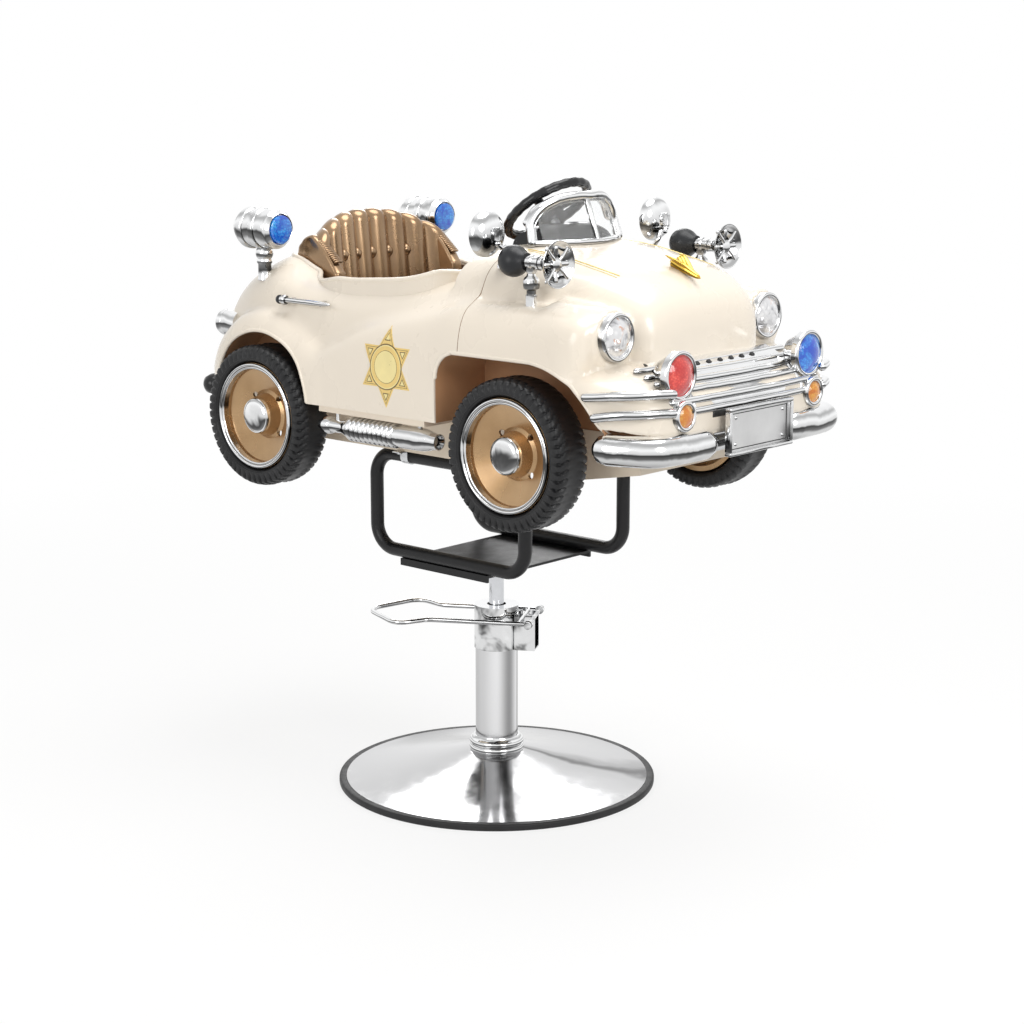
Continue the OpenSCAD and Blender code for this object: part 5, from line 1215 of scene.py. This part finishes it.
ornament = Form()
base = place((0, py(-0.72), pz(0.865)), (0, -math.sin(math.radians(14)), math.cos(math.radians(14))))
core = spline([(0, -33, 0.5), (0, -20, 2.5), (0, 0, 5.5), (0, 20, 8), (0, 32, 9)], 5)
sizes = np.interp(np.linspace(0, 1, len(core)), [0, 0.15, 0.5, 0.9, 1], [1.5, 4.2, 7, 7.2, 3])
ornament.add(tube(core, sizes, 16, flat=1.1), 0, base)
for side in (-1, 1):
    for k, (reach, up) in enumerate(((1.0, 1.0), (0.82, 0.72), (0.64, 0.45))):
        wing = spline([(side * 2, -14 + 8 * k, 6), (side * 9 * reach, 4 + 5 * k, 10 + 4 * up),
                       (side * 17 * reach, 20 + 3 * k, 13 + 7 * up),
                       (side * 20 * reach, 33 - 2 * k, 12 + 9 * up)], 5)
        w = np.interp(np.linspace(0, 1, len(wing)), [0, 0.3, 0.8, 1], [3, 4.6, 3.6, 1.0])
        ornament.add(tube(wing, w, 12, flat=0.42, side=(side * -0.5, 0, 1)), 0, base)
piece("ornament_wings", ornament, "car", ["gold"], ["hood_ornament"])

# Windshield

SCREEN_HALF = 111.0
SCREEN_H = 78
BOW = [(0, SCREEN_H), (0.2, 78), (0.45, 75.7), (0.62, 70), (0.85, 56.2), (1.0, 35), (1.03, 18), (1.05, 0)]

def screen_at(x, up):
    """A point on the windshield's curved, leaning face. up is its height over the cowl."""
    back = 45 * (x / SCREEN_HALF) ** 2 + up * math.tan(math.radians(20))
    return np.array([x, py(-0.40) + back, pz(1.004) + up])


def bow_line(points, wide=1.0, high=1.0, shift=(0, 0, 0)):
    return spline([screen_at(x * SCREEN_HALF * wide, up * high) + shift for x, up in points], 4)


def make_pane(form, side):
    """One clear pane, 2.5 mm thick, its top following the bow."""
    cols, rows = 12, 8
    xs, ups = zip(*[(x, up - 7) for x, up in BOW[:6]])
    grid = []
    for j in range(rows + 1):
        for x in np.linspace(7, 0.90 * SCREEN_HALF, cols + 1):
            rim = float(np.interp(x / SCREEN_HALF, xs, ups))
            grid.append(screen_at(side * x, 4 + (rim - 4) * j / rows))
    n = len(grid)
    v = np.vstack([grid + np.array([0, -1.2, 0.4]), grid + np.array([0, 1.2, -0.4])])
    starts = [j * (cols + 1) + i for j in range(rows) for i in range(cols)]
    quads = [(k, k + 1, k + cols + 2, k + cols + 1) for k in starts]
    edge = list(range(cols)) + [j * (cols + 1) + cols for j in range(rows)]
    edge += [n - 1 - i for i in edge]
    f = quads + [tuple(k + n for k in q[::-1]) for q in quads]
    f += [(b, a, a + n, b + n) for a, b in zip(edge, edge[1:] + edge[:1])]
    form.add((v, f if side > 0 else [q[::-1] for q in f]))


full_bow = [(-x, up) for x, up in BOW[:0:-1]] + BOW
shroud = Form().add(tube(bow_line(full_bow), 8, 18))
hood = bow_line(full_bow[2:-2], 0.985, 0.985, (0, 9, -1))
shroud.add(tube(hood, 7.2, 16, flat=1.6, side=(0, 1, 0.1)))
shroud.add(tube(bow_line(full_bow, 0.93, 0.90, (0, 5, 0)), 3.2, 12))
shroud.add(tube(bow_line([(t, 0) for t in (-1.05, -0.75, -0.5, -0.25, 0, 0.25, 0.5, 0.75, 1.05)]), 5.6, 14))
shroud.add(tube([screen_at(0, up) for up in (0, 40, SCREEN_H)], 4.8, 14))
bright_piece("screen_surround", shroud, "windshield_frame")
panes = Form()
for side in (-1, 1):
    make_pane(panes, side)
piece("screen_glass", panes, "car", ["glass"], ["windshield_panes"], angle=50)

# Dashboard: black binnacle under the screen

cy, cz, r = py(-0.268), pz(0.965), 40.0
rows = []
arch = np.linspace(-20, 200, 18)
for x in np.linspace(-90, 90, 25):
    high = r * (1 - 0.25 * (abs(x) / 90) ** 4)
    section = [(cy + r * 0.98 * math.cos(a), cz + high * math.sin(a)) for a in np.radians(arch)]
    rows.append([(x, y, max(z, pz(1.0) - 6)) for y, z in section])
dash = Form().add(skin(rows))
for gx in (-44, 0, 44):
    at = place((gx, cy + 30, pz(1.0) + 12), (0, 0.86, 0.5))
    dash.turn([(0, -8), (15, -8), (15, 1), (13.6, 2.2), (12.4, 1.2), (12.4, 0), (0, 0)], 40, at, mat=1)
piece("dash_binnacle", dash, "car", ["dash", "chrome"], ["dashboard"], angle=50)

# Steering wheel

helm = Form()
ring_r = 88 - 9
a = np.linspace(0, 2 * np.pi, 120, endpoint=False)
path = np.column_stack([ring_r * np.cos(a), ring_r * np.sin(a), 0 * a])
helm.add(tube(path, 8.55 + 0.4 * np.cos(24 * a), 20, closed=True, side=(0, 0, 1)), 0, SHAFT)
for t in np.radians([90, 210, 330]):
    line = ((20, -7), (40, -6), (60, -4.5), (76, -2))
    spoke = spline([(r * math.cos(t), r * math.sin(t), z) for r, z in line], 5)
    w = np.interp(np.linspace(0, 1, len(spoke)), [0, 0.3, 0.8, 1], [11.0, 8.5, 8.5, 10])
    helm.add(tube(spoke, w, 16, flat=0.42, side=(0, 0, 1)), 0, SHAFT)
helm.turn([(0, -26), (22.5, -26), (24, -24), (24, -8), (23, -4), (20.5, -1), (18.6, -0.2), (17.4, -1.2),
           (17.35, -16.2), (0, -16.2)], 56, SHAFT)
helm.turn([(24, -9.5)] + arc(24, -7.5, 2.0, -90, 90, 6) + [(23.4, -5.5)], 56, SHAFT, mat=1, closed=True)
piece("helm", helm, "steering", ["dash", "chrome"], ["steering_wheel"])
cap = [(0, -12), (16.8, -12), (16.9, -1.5), (15.6, 0.8), (12, 2.6), (6, 3.7), (0, 4.0)]
piece("horn_cap", Form().turn(cap, 56, SHAFT), "horn_push", ["chrome"], ["horn_button"])

# Exhausts, handles, tail lamps, rear bumper

m_front, m_rear, y0, y1 = py(-0.02), py(0.175), py(-0.185), py(0.305)
prof = [(0, y0 + 8), (9.5, y0 + 8), (12.3, y0), (14.2, y0), (14.2, y0 + 6), (14.6, y0 + 12), (17, y0 + 20),
        (19.4, y0 + 31), (20.5, y0 + 44), (20.8, m_front - 12), (19.2, m_front - 6)]
pitch = (m_rear - m_front) / 10
rib = [(19.3, -0.46), (21.8, -0.33), (22.8, -0.14), (22.8, 0.14), (21.8, 0.33), (19.3, 0.46)]
for i in range(10):
    prof += [(r, m_front + (i + 0.5 + t) * pitch) for r, t in rib]
prof += [(19, m_rear + 2), (15.5, m_rear + 12), (12, m_rear + 21), (12, y1 - 36)] \
    + [(12 + 4.3 * math.cos(a), y1 - 18 + 12 * math.sin(a)) for a in np.linspace(-1.45, 1.45, 9)] \
    + [(12, y1 - 3), (11, y1), (0, y1)]
pipes = Form().turn(prof, 56, place((px(0.89), 0, pz(-0.12)), (0, 1, 0)), both=True)
for y in (m_rear + 36, y0 + 46):
    pipes.turn([(0, 0), (4, 0), (4, 25.8), (0, 25.8)], 20, place((px(0.89), y, pz(-0.12))), both=True)
bright_piece("exhausts", pipes, "exhaust_pipes", "bright")

fore = np.array([px(0.862), py(0.29), pz(0.60)])
aft = np.array([px(0.855), py(0.50), pz(0.60)])
run = unit(aft - fore)
lever = [fore + run * t for t in (-4, 10, 30, 60, 90, 112)]
handles = Form().add(tube(lever, [2.6, 4.6, 5.6, 6.0, 6.0, 6.0], 16, flat=0.9, side=(0, 0, 1)), both=True)
handles.turn([(0, -16), (7.5, -16), (9.4, -13.5), (9.4, -10), (7.8, -8), (7.8, -4), (6, -3), (0, -3)], 32,
             place(aft, run), both=True)
handles.add(ball(8.6, 28, 14), 1, place(aft + run), both=True)
for t in (0.15, 0.8):
    at = place(fore + (aft - fore) * t, (-1, 0, 0))
    handles.turn([(0, 0), (5.2, 0), (5.2, 13), (0, 15)], 24, at, both=True)
piece("side_handles", handles, "car", ["chrome", "bulb_rubber"], ["door_handles"])

prof = [(0, 0), (25, 0), (25, 8), (24, 10), (24, 36), (25, 38)] \
    + [(min(25, 25 * math.cos(a)), 46.5 + 15 * math.sin(a)) for a in np.linspace(-0.3, 1.4, 9)] + [(0, 62)]
tails = Form().turn(prof, 56, place((px(0.66), py(0.79), pz(0.385)), (0, 1, 0)), both=True)
bright_piece("tail_housings", tails, "tail_lamps")

y, z = HALF_L - 22, pz(-0.04)
rear_bar = Form().add(tube([[px(t), y, z] for t in (-0.62, -0.3, 0, 0.3, 0.62)], 20.3, 28))
rear_bar.add(tube([[px(0.35), y, z], [px(0.35), py(0.83) + 0.3, z]], 10.5, 20, cap="flat"), both=True)
band = [(19.9, -4)] + arc(20.2, 0, 1.7, -70, 70, 5) + [(19.9, 4)]
rear_bar.turn(band, 40, place((px(0.45), y, z), (1, 0, 0)), mat=1, both=True, closed=True)
piece("bumper_rear", rear_bar, "car", ["dash", "chrome"], ["rear_bumper"])

# Stand


def spun(name, profile, look, node):
    piece(name, Form().turn(profile, 128, closed=True), "stand", [look], [node])


DOME_R, DOME_TOP, BORE = 286, 62, 40.3
out = [(DOME_R + (52 - DOME_R) * t, 13 + 49 * t ** 1.35) for t in np.linspace(0, 1, 40)]
spun("base_dome", out + [(BORE, DOME_TOP), (BORE, DOME_TOP - 3)] + [(r, h - 3) for r, h in out[::-1]],
     "dome_plating", "base_plate")
spun("base_tread", [(280, 0), (296, 0)] + arc(296, 4, 4, -90, 0, 4) + [(300, 8)]
     + arc(296.5, 9.5, 3.5, 0, 90, 5) + [(290, 13.0), (DOME_R + 0.3, 12.6), (DOME_R + 0.3, 10), (280, 10)],
     "rubber", "base_rim")
spun("column_beads", [(BORE, DOME_TOP), (50, DOME_TOP)] + arc(46.3, 67.4, 5.4, -60, 75, 8)
     + arc(46.3, 79.4, 5.4, -75, 75, 9) + [(45.5, 86.2), (43.5, 90.4), (BORE, 90.8)],
     "chrome", "column_collar")

pedal_turn = math.radians(121)
pedal_at = place((0, 0, 0), (0, 0, 1), (math.cos(pedal_turn), math.sin(pedal_turn), 0))
leg = 42 + 4.5 + 10
pin_z = 321.0
near = [[-64, leg, pin_z], [118.3, leg, pin_z], [171.8, 97, pin_z], [238, 15.5, pin_z]]
line = near + [[x, -y, z] for x, y, z in near[::-1]]
pedal = Form().add(tube(rounded(line, 30, 8), 4.5, 18, cap="flat"), 0, pedal_at)
for side in (-1, 1):
    pedal.turn([(4.05, -4), (7.4, -4), (8, -3.4), (8, 3.4), (7.4, 4), (4.05, 4)], 32,
               pedal_at @ place((-72, leg * side, pin_z), (0, 1, 0)), closed=True)
pedal.add(tube([[-52, -leg, pin_z], [-52, leg, pin_z]], 4, 14, cap="flat"), 0, pedal_at)
piece("pedal_wire", pedal, "pedal", ["chrome"], ["pump_pedal"])

# Star and pinstripe on the body

STAR_Y, STAR_Z = 0.0, 822.0


def layer(form, outline, mat, lift, rings=6):
    """A thin sheet laid on the car's side. The outline is around the star's middle."""
    pts = np.array(outline)
    centre = pts.mean(0)
    rows = []
    for i in range(rings + 1):
        flat = centre + (pts - centre) * (1 - i / (rings + 0.5)) + [STAR_Y, STAR_Z]
        rows.append([(-(surface_x(y, z, 200.0, 300.0) or 262.0) - lift, y, z) for y, z in flat[::-1]])
    rows.insert(0, [(x + lift + 0.8, y, z) for x, y, z in rows[0]])
    v, f = skin(rows)
    form.add((v, f[:-2] + f[-1:]), mat, both=True)


def star_outline(size, steps=6):
    pts = []
    for k in range(12):
        r, a = size * (0.577 if k % 2 else 1), math.radians(90 + 30 * k)
        pts.append(np.array([r * math.cos(a) * 0.93, r * math.sin(a)]))
    return [p + (q - p) * t for p, q in zip(pts, pts[1:] + pts[:1]) for t in np.arange(steps) / steps]


def disc_outline(r, n=72):
    return [(r * 0.97 * math.cos(t), r * math.sin(t)) for t in np.linspace(0, 2 * np.pi, n, endpoint=False)]


def make_star():
    gold, dark, pale = range(3)
    form = Form()
    for size, mat, lift in ((72, gold, 0.35), (66, dark, 0.45), (64.5, gold, 0.55)):
        layer(form, star_outline(size), mat, lift)
    for a in np.radians(90 + 60 * np.arange(6)):
        tip = np.array([math.cos(a) * 0.93, math.sin(a)])
        side = np.array([-math.sin(a), math.cos(a)])
        tri = np.array([tip * 60, tip * 46 + side * 7.5, tip * 46 - side * 7.5])
        layer(form, tri, dark, 0.65, 1)
        layer(form, tip * 51 + (tri - tip * 51) * 0.68, pale, 0.75, 1)
    for r, mat, lift in ((40.5, dark, 0.75), (38.5, pale, 0.85), (36.5, gold, 0.95), (29, dark, 1.05),
                         (28.2, pale, 1.15)):
        layer(form, disc_outline(r), mat, lift)
    piece("side_star", form, "car", ["star_gold", "star_dark", "star_pale"], angle=30)


make_star()

stripe = Form()
for off, w in ((0, 1.5), (7, 0.8)):
    line = [(-(128 + off + (y + 395) * 0.02), y) for y in np.linspace(-395, -195, 26)]
    path = [(x, y, surface_z(x, y) + 0.25) for x, y in line]
    stripe.add(tube(path, w, 8, flat=0.5, side=(0, 0, 1)), both=True)
piece("hood_pinstripe", stripe, "car", ["gold_line"])

# CAD nodes that stay get their finish

FINISH = {
    "iron": ["floor_plate", "pump_cylinder"], "zinc": ["base_bolts", "frame_straps", "tie_rod"],
    "column_plating": ["column_cover"], "chrome": ["pump_head", "pedal_bracket"],
    "rod_chrome": ["pump_plunger", "piston_rod"], "ivory_pan": ["chassis_pan"],
    "black_steel": ["mounting_plate", "frame_loop_right", "frame_loop_left", "front_axle"],
    "steel": ["rear_axle", "steering_shaft", "knuckle_right", "knuckle_left"],
    "disc_gold": ["disc_front_right", "disc_front_left", "discs_rear"],
}
for look, nodes in FINISH.items():
    for ob in (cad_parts[node] for node in nodes):
        for cell in ob.material_slots:
            cell.material = MATS[look]
        if not ob.material_slots:
            ob.data.materials.append(MATS[look])

# Floor, background and light

def seen_by_camera(tree):
    """1 where the camera sees a surface, straight, mirrored or through glass, and 0 for light."""
    rays = add_node(tree, "LightPath").outputs
    seen = rays["Is Camera Ray"]
    for kind in ("Is Glossy Ray", "Is Transmission Ray"):
        seen = add_node(tree, "Math", ((0, seen), (1, rays[kind])), operation="MAXIMUM").outputs[0]
    return seen


def wire(tree, share, first, second, output):
    mix = add_node(tree, "MixShader", ((0, share), (1, first.outputs[0]), (2, second.outputs[0])))
    add_node(tree, output, (("Surface", mix.outputs[0]),))


def floor_white():
    """Pale paint that takes shadows, mixed with light that grows until the floor's edge is pure white."""
    mat = bpy.data.materials.new("floor_white")
    mat.use_nodes = True
    tree = mat.node_tree
    tree.nodes.clear()
    paint = add_node(tree, "BsdfDiffuse", (("Color", (0.93, 0.93, 0.925, 1)),))
    glow = add_node(tree, "Emission", (("Color", (1, 1, 1, 1)),))
    middle = add_node(tree, "TexCoord").outputs["Object"]
    far = add_node(tree, "VectorMath", ((0, middle),), operation="LENGTH").outputs["Value"]
    rise = add_node(tree, "MapRange", (("Value", far), ("From Min", 0.7), ("From Max", 3.2), ("To Min", 0.80),
                                       ("To Max", 1.0))).outputs["Result"]
    share = add_node(tree, "Math", ((0, seen_by_camera(tree)), (1, rise)), operation="MULTIPLY").outputs[0]
    wire(tree, share, paint, glow, "OutputMaterial")
    return mat


floor_mesh = bpy.data.meshes.new("floor")
n = 96
ring = [(60 * math.cos(t), 60 * math.sin(t), 0) for t in np.linspace(0, 2 * np.pi, n, endpoint=False)]
floor_mesh.from_pydata([(0, 0, 0)] + ring, [], [(0, 1 + i, 1 + (i + 1) % n) for i in range(n)])
floor_mesh.materials.append(floor_white())
floor = bpy.data.objects.new("floor", floor_mesh)
scene.collection.objects.link(floor)
floor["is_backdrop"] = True

world = bpy.data.worlds.new("studio")
scene.world = world
world.use_nodes = True
tree = world.node_tree
tree.nodes.clear()
soft = add_node(tree, "Background", (("Color", (1.0, 0.99, 0.98, 1)), ("Strength", 0.42)))
white = add_node(tree, "Background", (("Color", (1, 1, 1, 1)), ("Strength", 1.0)))
wire(tree, seen_by_camera(tree), soft, white, "OutputWorld")


def lamp(name, at, size, power, color=(1, 1, 1)):
    data = bpy.data.lights.new(name, "AREA")
    data.shape, data.size, data.energy, data.color = "DISK", size, power, color
    ob = bpy.data.objects.new(name, data)
    scene.collection.objects.link(ob)
    ob.location = at
    ob.rotation_euler = (Vector((0, 0, 0.75)) - Vector(at)).to_track_quat("-Z", "Y").to_euler()


lamp("top", (0.3, -0.4, 3.6), 2.4, 62)
lamp("key", (-1.0, -3.6, 2.4), 1.8, 52)
lamp("left", (-3.6, -0.2, 1.8), 2.0, 30)
lamp("rim", (2.6, 2.4, 2.6), 1.8, 34)

sizes = {"cad": [list(p) for p in cad_box], "visual": [list(p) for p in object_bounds()]}
